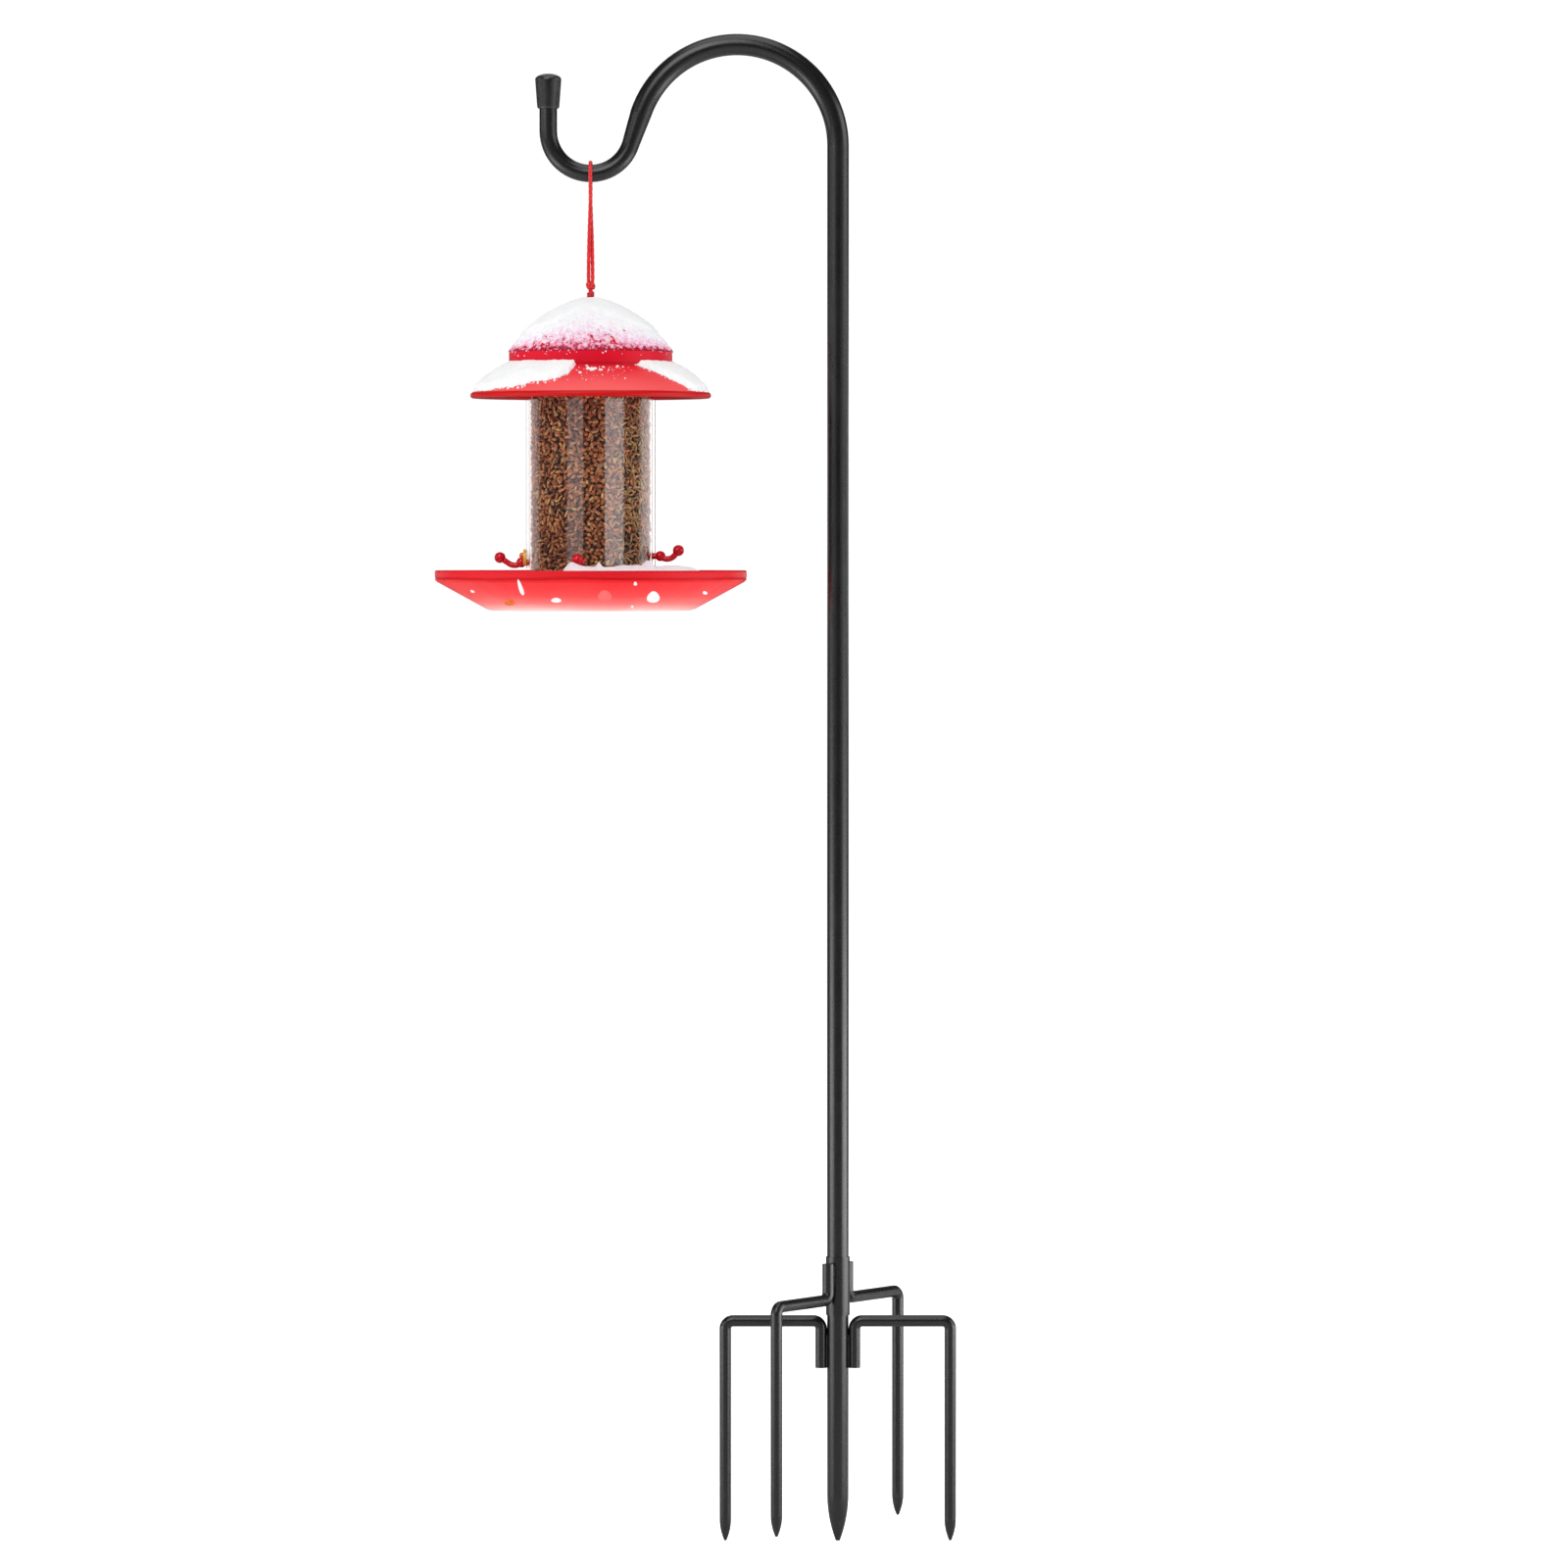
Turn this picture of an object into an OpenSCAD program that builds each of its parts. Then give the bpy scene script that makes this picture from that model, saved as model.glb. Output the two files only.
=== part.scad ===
// Hanging seed feeder on a shepherd's-crook garden pole with a five-point ground base.
// Millimetres, +Z up. The origin is on the pole's axis at the ground line, which is the underside
// of the lower prong arms. The crook reaches out along -X and the feeder hangs from it.

/* [Pole] */
// Outer diameter of the pole tube
pole_d = 22; // [21:0.5:24]
// Wall thickness of every steel tube
tube_wall = 1.5; // [1:0.1:2]
// Height of the arch's centre above the ground
arch_z = 1205; // [1195:5:1230]
// Centreline radius of the big arch
arch_r = 103; // [101:1:105]
// Diameter of the swaged hook end
hook_d = 18; // [17:0.5:19]
// Centreline radius of the small hook
hook_r = 43; // [42:1:44]

/* [Ground base] */
// Radius from the pole's axis to the outer leg of each prong
prong_reach = 115; // [100:5:130]
// Diameter of the prong rod
prong_d = 12; // [10:0.5:12]
// Centreline radius of the prong's bends
prong_bend = 8; // [8:0.5:12]
// Depth of the spike and of the side prongs below the ground
spike_depth = 219; // [200:1:260]
// Angle of the collar's prongs from the front-to-back line
collar_angle = 33; // [10:1:50]

/* [Feeder] */
// Outer diameter of the clear seed tube
seed_tube_d = 132; // [130:1:134]
// Outer radius of the tray's rim
tray_r = 159; // [150:1:160]
// Radius of the tray's flat base
tray_base_r = 104; // [98:1:106]
// Outer radius of the roof's brim
brim_r = 122.7; // [118:0.1:124]
// Height of the dome above its flat band
dome_h = 54.7; // [52:0.1:56]
// Radius of the flat band under the dome
band_r = 83.2; // [82:0.1:84]

/* [Cord] */
// Diameter of the hanging cord
cord_d = 4; // [3:0.5:4]

/* [Hidden] */

$fn = 72;
run_fit = 0.05;    // radial clearance of a plug in its tube
lap = 0.5;         // how far a straight piece runs on into a bent one, and its step inwards
lap_step = 0.05;
gap = 0.3;         // space left between parts that only meet
steel = "#202021";
plastic = "#d8141c";

// Ground base
tube_id = pole_d - 2 * tube_wall;
lower_arm_z = prong_d / 2;
upper_arm_z = 28.5;
short_leg_drop = 42;
short_leg_top = 65.5;
prong_tip_len = 22;
rear_tip_z = -204;
spike_top_z = -60;
spike_taper = 47;
spike_spigot = 25;
stake_top_z = 40;
collar_d = pole_d + 2.5;
collar_bottom_z = prong_d;
collar_h = 59.5;

// Pole
shoulder_h = 3;
shoulder_z = stake_top_z + 0.1;
pole_bottom_z = shoulder_z + shoulder_h;
plug_down = 50;
plug_up = 49;
section_z = [430, 817];        // joints between the pole's sections
coupler_half = 45;
// The hook's centre is level with a point 15 above the arch's centre, and 149 further out.
hook_dx = 149;
hook_dz = 15;
arch_x = -arch_r;
hook_x = arch_x - hook_dx;
hook_z = arch_z + hook_dz;
centre_gap = norm([hook_dx, hook_dz]);
centre_tilt = atan2(hook_dz, hook_dx);
// The neck is the inner tangent of the arch's circle and the hook's circle.
neck_run = sqrt(pow(centre_gap, 2) - pow(arch_r + hook_r, 2));
arch_end = 180 - centre_tilt - acos((arch_r + hook_r) / centre_gap);
cap_z = hook_z + 23;
cap_h = 35.6;
cap_bore_h = 21;
hook_tip_z = cap_z + cap_bore_h - gap;

// Feeder, on its own vertical axis under the hook's lowest point
axis_x = hook_x;
saddle_z = hook_z - hook_r;
tube_r = seed_tube_d / 2;
clear_wall = 3;
tray_z = 732;
tray_wall = 3;
tray_rim_z = 773;
tray_slope_z = 761;
boss_r = 24;
boss_h = 13;
tube_bottom_z = 735.2;
tube_top_z = 976;
fill_top_z = 958;
deflector_r = tube_r - clear_wall - 3;
deflector_h = 35;
spider_z = 979.7;
seat_z = 980;
band_z = 983;
band_h = 12.3;
dome_bulge = 9.5;
dome_hole_r = 8.6;
skirt_top_r = 80;
shell = 2.5;
brim_z = 948;
brim_bead = 6;
brim_bulge = 3;
rod_d = 6;
rod_hole_r = rod_d / 2 + 0.2;
nut_r = 5.77;
stirrup_z = 992;
stirrup_h = 38;
stirrup_w = 24;
stirrup_t = 9;
port_z = 748;
port_h = 20;
port_w = 30;
screw_r = 76;
drain_r = 88;
perch_turn = -7.4;
perch_d = 6;
perch_bend = 10;
perch_foot_z = 781;
perch_dip = 45;                // angle at which the arm leaves its knob downwards
perch_knob_d = 10.5;
guard_z = 785.5;
perch_ball_d = 11.4;
perch_hole_r = perch_d / 2 + 0.2;
// [azimuth, rise of the arm in degrees, length of its straight part, height shift]
perches = [[270, 33, 8, 0], [180, 33, 11.5, 0], [90, 33, 8, 0], [0, 52, 6, 6.5]];

// Cord
loop_r = hook_d / 2 + gap + cord_d / 2;
meet_z = 1148;                       // where the two strands come together
meet_y = cord_d / 2 + 0.1;
swing_z = saddle_z - 13.5;           // the side swing turns here, in a small gap of the cord
knot_top_z = 1068;
knot_tip_z = 1048.5;
meet_drop = saddle_z - meet_z;
meet_dist = norm([meet_y, meet_drop]);
leave_angle = atan2(meet_y, meet_drop) + acos(loop_r / meet_dist);
leave = [loop_r * sin(leave_angle), saddle_z - loop_r * cos(leave_angle)];
function strand_y(z) = meet_y + (leave[0] - meet_y) * (z - meet_z) / (leave[1] - meet_z);

// An arc from a to b that bulges outwards: its radius, its centre, and its height at a radius r.
function arc_r(a, b, bulge) = (pow(norm(b - a), 2) / 4 + bulge * bulge) / (2 * bulge);
function arc_c(a, b, bulge) = (a + b) / 2
    + [b[1] - a[1], a[0] - b[0]] / norm(b - a) * (arc_r(a, b, bulge) - bulge);
function arc_z(a, b, bulge, r) = arc_c(a, b, bulge)[1]
    + sqrt(pow(arc_r(a, b, bulge), 2) - pow(r - arc_c(a, b, bulge)[0], 2));
dome_foot_z = band_z + band_h;
dome_apex = [0, dome_foot_z + dome_h];
dome_foot = [band_r, dome_foot_z];

// Shapes that repeat

module ring(r_out, r_in, h) {
    difference() {
        cylinder(r = r_out, h = h);
        translate([0, 0, -1])
            cylinder(r = r_in, h = h + 2);
    }
}

// A quarter or other part of a bent rod: centreline radius r, from angle a over sweep s, in XZ.
module bend(r, d, a, s, bore = 0) {
    rotate([90, 0, 0])
        rotate([0, 0, a])
            rotate_extrude(angle = s)
                translate([r, 0])
                    difference() {
                        circle(d = d);
                        if (bore > 0)
                            circle(d = bore);
                    }
}

// A solid of revolution that narrows in a pointed arch, its base at z = 0 and its tip at -len.
module ogive(r, len, tip_r) {
    drop = r - tip_r;
    big = (len * len + drop * drop) / (2 * drop);
    rotate_extrude()
        intersection() {
            translate([0, -len])
                square([r, len]);
            translate([r - big, 0])
                circle(r = big, $fn = 360);
        }
}

// One ground prong along +X: short leg beside the tube, arm at arm_z, outer leg down to tip_z.
module prong(leg_x, arm_z, leg_end_z, tip_z) {
    up = leg_end_z > arm_z;
    side = up ? 1 : -1;
    inner_z = arm_z + side * prong_bend;
    translate([leg_x, 0, min(inner_z, leg_end_z)])
        cylinder(d = prong_d, h = abs(leg_end_z - inner_z));
    translate([leg_x + prong_bend, 0, inner_z])
        bend(prong_bend, prong_d, up ? 180 : 90, 90);
    translate([leg_x + prong_bend, 0, arm_z])
        rotate([0, 90, 0])
            cylinder(d = prong_d, h = prong_reach - leg_x - 2 * prong_bend);
    translate([prong_reach - prong_bend, 0, arm_z - prong_bend])
        bend(prong_bend, prong_d, 0, 90);
    translate([prong_reach, 0, tip_z + prong_tip_len])
        cylinder(d = prong_d, h = arm_z - prong_bend - tip_z - prong_tip_len);
    translate([prong_reach, 0, tip_z + prong_tip_len])
        ogive(prong_d / 2, prong_tip_len, 1.2);
}

// Half the outline of a curved sheet: the arc from a to b, shell thick, outside x0 and between z0 and z1.
module sheet_outline(a, b, bulge, x0, z0, z1) {
    big = arc_r(a, b, bulge);
    intersection() {
        translate(arc_c(a, b, bulge))
            difference() {
                circle(r = big, $fn = 720);
                circle(r = big - shell, $fn = 720);
            }
        translate([x0, z0])
            square([b[0] - x0, z1 - z0]);
    }
}

module pole_tube(z0, z1) {
    translate([0, 0, z0])
        ring(pole_d / 2, tube_id / 2, z1 - z0);
}

// Ground base

module stake_tube() {
    color(steel)
        translate([0, 0, spike_top_z])
            ring(pole_d / 2, tube_id / 2, stake_top_z - spike_top_z);
}

module ground_spike() {
    straight_z = -spike_depth + spike_taper;
    color(steel) {
        translate([0, 0, straight_z])
            cylinder(d = pole_d, h = spike_top_z - straight_z);
        translate([0, 0, straight_z])
            ogive(pole_d / 2, spike_taper, 2.2);
        translate([0, 0, spike_top_z])
            cylinder(r = tube_id / 2 - run_fit, h = spike_spigot);
    }
}

module lower_prong() {
    color(steel)
        prong(pole_d / 2 + prong_d / 2, lower_arm_z, -short_leg_drop, -spike_depth);
}

module prong_left() {
    rotate([0, 0, 180])
        lower_prong();
}

module prong_right() {
    lower_prong();
}

module collar_sleeve() {
    color(steel)
        translate([0, 0, collar_bottom_z + gap])
            ring(collar_d / 2, pole_d / 2 + run_fit, collar_h);
}

module upper_prong() {
    color(steel)
        prong(collar_d / 2 + prong_d / 2, upper_arm_z, short_leg_top, rear_tip_z);
}

module prong_front() {
    rotate([0, 0, -90 - collar_angle])
        upper_prong();
}

module prong_rear() {
    rotate([0, 0, 90 - collar_angle])
        upper_prong();
}

// Pole

module pole_connector() {
    plug_r = tube_id / 2 - run_fit;
    color("#3a3a3c") {
        translate([0, 0, shoulder_z - plug_down])
            cylinder(r = plug_r, h = plug_down);
        translate([0, 0, shoulder_z])
            cylinder(r = pole_d / 2 - 0.1, h = shoulder_h);
        translate([0, 0, pole_bottom_z])
            cylinder(r = plug_r, h = plug_up);
    }
}

module pole_lower() {
    color(steel)
        pole_tube(pole_bottom_z + 0.1, section_z[0]);
}

module pole_middle() {
    color(steel)
        pole_tube(section_z[0], section_z[1]);
}

module pole_couplers() {
    color("#3a3a3c")
        for (z = section_z)
            translate([0, 0, z - coupler_half])
                cylinder(r = tube_id / 2 - run_fit, h = 2 * coupler_half);
}

// A tapering tube from z = 0 to h. Its ends run on by lap, inside the walls of the bent tubes.
module neck_tube(d1, d2, h) {
    module taper(a, b) {
        translate([0, 0, -lap])
            cylinder(d = a, h = lap);
        cylinder(d1 = a, d2 = b, h = h);
        translate([0, 0, h])
            cylinder(d = b, h = lap);
    }
    wall = 2 * tube_wall - 4 * lap_step;
    difference() {
        taper(d1 - 2 * lap_step, d2 - 2 * lap_step);
        taper(d1 - 2 * lap_step - wall, d2 - 2 * lap_step - wall);
    }
}

// The bent top: straight tube, big arch, swaged neck, small hook, straight tip.
module crook() {
    neck_start = [arch_x + arch_r * cos(arch_end), arch_z + arch_r * sin(arch_end)];
    hook_bore = hook_d - 2 * tube_wall;
    color(steel) {
        pole_tube(section_z[1], arch_z);
        translate([arch_x, 0, arch_z])
            bend(arch_r, pole_d, 0, arch_end, tube_id);
        translate([neck_start[0], 0, neck_start[1]])
            rotate([0, -arch_end, 0])
                neck_tube(pole_d, hook_d, neck_run);
        translate([hook_x, 0, hook_z])
            bend(hook_r, hook_d, 180, arch_end, hook_bore);
        translate([hook_x - hook_r, 0, hook_z])
            ring(hook_d / 2, hook_bore / 2, hook_tip_z - hook_z);
    }
}

// Moulded cap: it widens upwards from a chamfered mouth to a shoulder, under a low domed top.
module hook_end_cap() {
    bore_r = hook_d / 2 + run_fit;
    low_r = hook_d / 2 + 2.3;
    high_r = hook_d / 2 + 4.35;
    mouth = 1.5;
    shoulder = mouth + 28;
    top_h = cap_h - shoulder;
    color("#19191a")
        translate([hook_x - hook_r, 0, cap_z])
            rotate_extrude()
                polygon(concat([[bore_r, 0], [low_r - 0.9, 0], [low_r, mouth]],
                    [for (a = [0 : 10 : 90]) [high_r * cos(a), shoulder + top_h * sin(a)]],
                    [[0, cap_bore_h], [bore_r, cap_bore_h]]));
}

// Cord: one loop of cord over the hook, its two strands twisted together down to a knot.

function ring_points(c, r, n, tilt) = [for (i = [0 : n - 1])
    c + r * [cos(360 * i / n), sin(360 * i / n), -tilt * sin(360 * i / n)]];

// A tube through the points of path, as one closed polyhedron with flat ends.
module swept(path, r, n = 8) {
    pts = [for (p = path) each ring_points(p, r, n, 0)];
    last = len(path) - 1;
    sides = [for (k = [0 : last - 1], i = [0 : n - 1])
        [k * n + i, (k + 1) * n + i, (k + 1) * n + (i + 1) % n, k * n + (i + 1) % n]];
    ends = [[for (i = [0 : n - 1]) i],
        [for (i = [n - 1 : -1 : 0]) last * n + i]];
    polyhedron(points = pts, faces = concat(sides, ends), convexity = 4);
}

// The strand's centre at height z: straight in from the hook, then a quarter turn of slow twist.
function strand(z, side) = z > meet_z
    ? [axis_x, side * strand_y(z), z]
    : [axis_x + side * meet_y * sin(90 * (meet_z - z) / (meet_z - knot_top_z)),
        side * meet_y * cos(90 * (meet_z - z) / (meet_z - knot_top_z)), z];

module cord_loop() {
    leg = [leave[0] - strand_y(swing_z + 0.5), leave[1] - swing_z - 0.5];
    color(plastic) {
        translate([axis_x, 0, saddle_z])
            rotate([90, 0, 90])
                rotate([0, 0, leave_angle - 90])
                    rotate_extrude(angle = 360 - 2 * leave_angle)
                        translate([loop_r, 0])
                            circle(d = cord_d);
        for (side = [-1, 1])
            translate([axis_x, side * leave[0], leave[1]])
                rotate([-side * (180 - atan2(leg[0], leg[1])), 0, 0])
                    cylinder(d = cord_d, h = norm(leg));
    }
}

module cord_strands() {
    top = swing_z - 0.5;
    bottom = knot_top_z - 1.5;
    heights = concat([top, meet_z + 4, meet_z], [for (z = [meet_z - 8 : -8 : bottom + 4]) z], [bottom]);
    color(plastic)
        for (side = [-1, 1])
            swept([for (i = [len(heights) - 1 : -1 : 0]) strand(heights[i], side)], cord_d / 2);
}

module cord_knot() {
    color(plastic)
        translate([axis_x, 0, 0]) {
            translate([0, 0, knot_top_z - 5.35])
                sphere(r = 5.35);
            translate([0, 0, knot_tip_z + 6.5])
                sphere(r = 4);
            translate([0, 0, knot_tip_z])
                cylinder(r1 = 1.5, r2 = 3.6, h = 5);
        }
}

module cord_tail() {
    stopper_r = 4.5;
    top_bar_z = stirrup_z + stirrup_h - 4;
    color(plastic)
        translate([axis_x, 0, 0]) {
            translate([0, 0, top_bar_z - 3])
                cylinder(d = cord_d, h = knot_tip_z + 2 - top_bar_z + 3);
            translate([0, 0, top_bar_z - gap - stopper_r])
                sphere(r = stopper_r);
        }
}

// Feeder core

module on_axis() {
    translate([axis_x, 0, 0])
        children();
}

module hanger_stirrup() {
    color("#b9bcc0")
        on_axis()
            translate([0, 0, stirrup_z])
                difference() {
                    translate([-stirrup_w / 2, -stirrup_t / 2, 0])
                        cube([stirrup_w, stirrup_t, stirrup_h]);
                    translate([-stirrup_w / 2 + 3, -stirrup_t, 8])
                        cube([stirrup_w - 6, 2 * stirrup_t, stirrup_h - 12]);
                    translate([0, 0, -1])
                        cylinder(r = rod_d / 2 + run_fit, h = 10);
                    translate([0, 0, stirrup_h - 5])
                        cylinder(r = cord_d / 2 + gap, h = 6);
                }
}

module center_rod() {
    color("#b9bcc0")
        on_axis()
            translate([0, 0, tray_z + 1])
                cylinder(d = rod_d, h = stirrup_z + 7 - tray_z - 1);
}

module top_nut() {
    color("#b9bcc0")
        on_axis()
            translate([0, 0, spider_z + 0.1])
                difference() {
                    cylinder(r = nut_r, h = 5, $fn = 6);
                    translate([0, 0, -1])
                        cylinder(r = rod_d / 2 + run_fit, h = 7);
                }
}

// Collar over the tube's top, with three spokes that hold the rod and leave room to pour seed.
module tube_spider() {
    lip = spider_z - tube_top_z;
    color(plastic)
        on_axis() {
            translate([0, 0, tube_top_z - 12])
                ring(tube_r + 4, tube_r + run_fit, 12);
            translate([0, 0, tube_top_z])
                ring(tube_r + 4, tube_r - 8, lip);
            translate([0, 0, tube_top_z])
                difference() {
                    union() {
                        cylinder(r = 9, h = lip);
                        for (a = [30, 150, 270])
                            rotate([0, 0, a])
                                translate([0, -4, 0])
                                    cube([tube_r - 7, 8, lip]);
                    }
                    translate([0, 0, -1])
                        cylinder(r = rod_hole_r, h = lip + 2);
                }
        }
}

module seed_tube() {
    color("#dfe6ea", 0.35)
        on_axis()
            difference() {
                translate([0, 0, tube_bottom_z])
                    ring(tube_r, tube_r - clear_wall, tube_top_z - gap - tube_bottom_z);
                for (a = [45 : 90 : 315])
                    rotate([0, 0, a + perch_turn])
                        translate([tube_r - 10, -port_w / 2, port_z])
                            cube([20, port_w, port_h]);
                for (p = perches)
                    rotate([0, 0, p[0] + perch_turn])
                        translate([tube_r - 10, 0, perch_foot_z + p[3]])
                            rotate([0, 90, 0])
                                cylinder(r = perch_hole_r, h = 20);
            }
}

module deflector_cone(grow) {
    cylinder(r1 = deflector_r + grow, r2 = 8 + grow, h = deflector_h);
}

module seed_deflector() {
    color(plastic)
        on_axis()
            difference() {
                translate([0, 0, tube_bottom_z])
                    deflector_cone(0);
                translate([0, 0, tray_z])
                    cylinder(r = boss_r + 4, h = boss_h + gap);
                translate([0, 0, tray_z])
                    cylinder(r = rod_hole_r, h = deflector_h + 10);
            }
}

module seed_fill() {
    color("#6b4a2f")
        on_axis()
            difference() {
                translate([0, 0, tube_bottom_z + 1])
                    cylinder(r = tube_r - clear_wall - 0.4, h = fill_top_z - tube_bottom_z - 1);
                translate([0, 0, tube_bottom_z])
                    deflector_cone(0.6);
                translate([0, 0, tube_bottom_z])
                    cylinder(r = rod_hole_r, h = fill_top_z - tube_bottom_z + 1);
                for (p = perches)
                    rotate([0, 0, p[0] + perch_turn])
                        translate([tube_r - clear_wall - 4, 0, perch_foot_z + p[3]])
                            rotate([0, 90, 0])
                                cylinder(r = perch_hole_r + 1.5, h = 20);
            }
}

// Tray: a shallow dish with a raised boss over its nut, a ring that holds the tube, and drains.
module tray() {
    floor_z = tray_z + tray_wall;
    color(plastic)
        on_axis()
            difference() {
                rotate_extrude($fn = 180)
                    difference() {
                        union() {
                            polygon([[boss_r, tray_z], [tray_base_r - 3, tray_z],
                                [tray_base_r + 2, tray_z + 1.3], [tray_r - 2.5, tray_slope_z],
                                [tray_r, tray_slope_z + 2.5], [tray_r, tray_rim_z - 1.8],
                                [tray_r - 3.6, tray_rim_z - 1.8], [tray_r - 3.6, tray_slope_z + 4],
                                [tray_base_r, floor_z + 1], [tray_base_r - 3, floor_z],
                                [boss_r + 3, floor_z], [boss_r + 3, tray_z + boss_h],
                                [rod_hole_r, tray_z + boss_h], [rod_hole_r, tray_z + boss_h - 3],
                                [boss_r, tray_z + boss_h - 3]]);
                            translate([tray_r - 1.8, tray_rim_z - 1.8])
                                circle(r = 1.8);
                            translate([tube_r + gap, floor_z - 1])
                                square([4, 12]);
                        }
                        translate([tray_r + 0.4, tray_rim_z - 8])
                            circle(r = 1);
                    }
                for (a = [0 : 45 : 315])
                    rotate([0, 0, a])
                        translate([drain_r, 0, tray_z - 1])
                            cylinder(r = 2, h = tray_wall + 2);
            }
}

module tray_washer() {
    color("#b9bcc0")
        on_axis()
            translate([0, 0, tray_z + boss_h - 3 - 1.3])
                ring(9, rod_hole_r, 1.2);
}

module wing_nut() {
    nut_z = tray_z + 3.6;
    color("#b9bcc0")
        on_axis()
            difference() {
                union() {
                    translate([0, 0, nut_z])
                        cylinder(r = 5.5, h = 5);
                    for (side = [0, 180])
                        rotate([0, 0, side])
                            translate([8.5, 1, nut_z + 0.5])
                                rotate([90, 0, 0])
                                    intersection() {
                                        cylinder(r = 6, h = 2);
                                        translate([-8, -3.5, -1])
                                            cube([16, 8, 4]);
                                    }
                }
                translate([0, 0, tray_z])
                    cylinder(r = rod_d / 2 + run_fit, h = 12);
            }
}

module perch(p) {
    foot_r = tube_r - clear_wall;
    knob_r = tube_r + 5.6;
    bend_r = knob_r + perch_bend * cos(perch_dip);
    bend_z = perch_foot_z + perch_bend * sin(perch_dip);
    end_r = bend_r + perch_bend * sin(p[1]);
    end_z = bend_z - perch_bend * cos(p[1]);
    color(plastic)
        translate([axis_x, 0, p[3]])
            rotate([0, 0, p[0] + perch_turn]) {
                translate([foot_r, 0, perch_foot_z])
                    rotate([0, 90, 0]) {
                        cylinder(d = perch_d, h = knob_r - foot_r);
                        translate([0, 0, knob_r - foot_r])
                            sphere(d = perch_knob_d);
                    }
                translate([bend_r, 0, bend_z])
                    bend(perch_bend, perch_d, 180 + perch_dip, 90 - perch_dip + p[1]);
                translate([end_r, 0, end_z])
                    rotate([0, 90 - p[1], 0]) {
                        translate([0, 0, -lap])
                            cylinder(d = perch_d - 2 * lap_step, h = p[2] + lap);
                        translate([0, 0, p[2]])
                            sphere(d = perch_ball_d);
                    }
            }
}

module perch_front() {
    perch(perches[0]);
}

module perch_left() {
    perch(perches[1]);
}

module perch_rear() {
    perch(perches[2]);
}

module perch_right() {
    perch(perches[3]);
}

// A yellow guard plate on the tube's wall round the left perch, with an orange bead above it.
module port_guard() {
    left = perches[1];
    color("#f2b41c")
        on_axis()
            rotate([0, 0, left[0] + perch_turn])
                difference() {
                    intersection() {
                        translate([tube_r - 6, 0, guard_z])
                            rotate([0, 90, 0])
                                cylinder(d = 18, h = 9.5);
                        translate([0, 0, guard_z - 20])
                            ring(tube_r + 3, tube_r + 0.1, 40);
                    }
                    translate([tube_r - 8, 0, perch_foot_z + left[3]])
                        rotate([0, 90, 0])
                            cylinder(r = perch_knob_d / 2 + 0.3, h = 14);
                }
}

module port_bead() {
    left = perches[1];
    color("#f0781e")
        on_axis()
            rotate([0, 0, left[0] + perch_turn])
                translate([tube_r + 5.6, -5.5, guard_z + 2.5])
                    sphere(d = 6.3);
}

// Roof

// Dome: a slightly pointed arch turned about the axis, on a flat band with three screw bosses.
module roof_dome() {
    color(plastic)
        on_axis()
            difference() {
                union() {
                    rotate_extrude($fn = 180)
                        union() {
                            sheet_outline(dome_apex, dome_foot, dome_bulge, dome_hole_r,
                                dome_foot_z - 1, dome_apex[1]);
                            translate([band_r - shell, band_z])
                                square([shell, band_h]);
                        }
                    for (a = [90, 210, 330])
                        rotate([0, 0, a])
                            translate([screw_r, 0, band_z])
                                cylinder(r = 5, h = band_h);
                }
                for (a = [90, 210, 330])
                    rotate([0, 0, a])
                        translate([screw_r, 0, band_z - 1])
                            cylinder(r = 1.75, h = 9);
            }
}

// Brim: a flat seat under the band, a slightly domed skirt and a round bead along its rim.
module roof_brim() {
    a = [skirt_top_r, band_z - 1.5];
    b = [brim_r - 1.2, brim_z + brim_bead - 1];
    color(plastic)
        on_axis()
            difference() {
                rotate_extrude($fn = 180)
                    union() {
                        sheet_outline(a, b, brim_bulge, a[0] - 1, brim_z, band_z - 0.02);
                        translate([tube_r - 2, seat_z])
                            square([a[0] + 2 - tube_r + 2, band_z - seat_z - 0.02]);
                        translate([brim_r - brim_bead / 2, brim_z + brim_bead / 2])
                            circle(r = brim_bead / 2);
                    }
                for (s = [90, 210, 330])
                    rotate([0, 0, s])
                        translate([screw_r, 0, seat_z - 1])
                            cylinder(r = 1.75, h = 5);
            }
}

// Grommet: a soft bush in the dome's hole, with a flange on each face of the sheet.
module roof_grommet() {
    flange_r = 11;
    flange_h = 1.6;
    top_z = arc_z(dome_apex, dome_foot, dome_bulge, dome_hole_r) + run_fit;
    low_z = arc_z(dome_apex, dome_foot, dome_bulge, flange_r) - shell - 0.2;
    color("#8c0f14")
        on_axis()
            difference() {
                union() {
                    translate([0, 0, low_z - 1])
                        cylinder(r = dome_hole_r - 0.1, h = top_z - low_z + 2);
                    translate([0, 0, top_z])
                        cylinder(r = flange_r, h = flange_h);
                    translate([0, 0, low_z - flange_h])
                        cylinder(r = flange_r, h = flange_h);
                }
                translate([0, 0, low_z - 3])
                    cylinder(r = 7, h = 14);
            }
}

module roof_screws() {
    color("#b9bcc0")
        on_axis()
            for (a = [90, 210, 330])
                rotate([0, 0, a])
                    translate([screw_r, 0, 0]) {
                        translate([0, 0, seat_z - 2])
                            cylinder(r = 3, h = 2);
                        translate([0, 0, seat_z])
                            cylinder(r = 1.7, h = 9);
                    }
}

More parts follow.
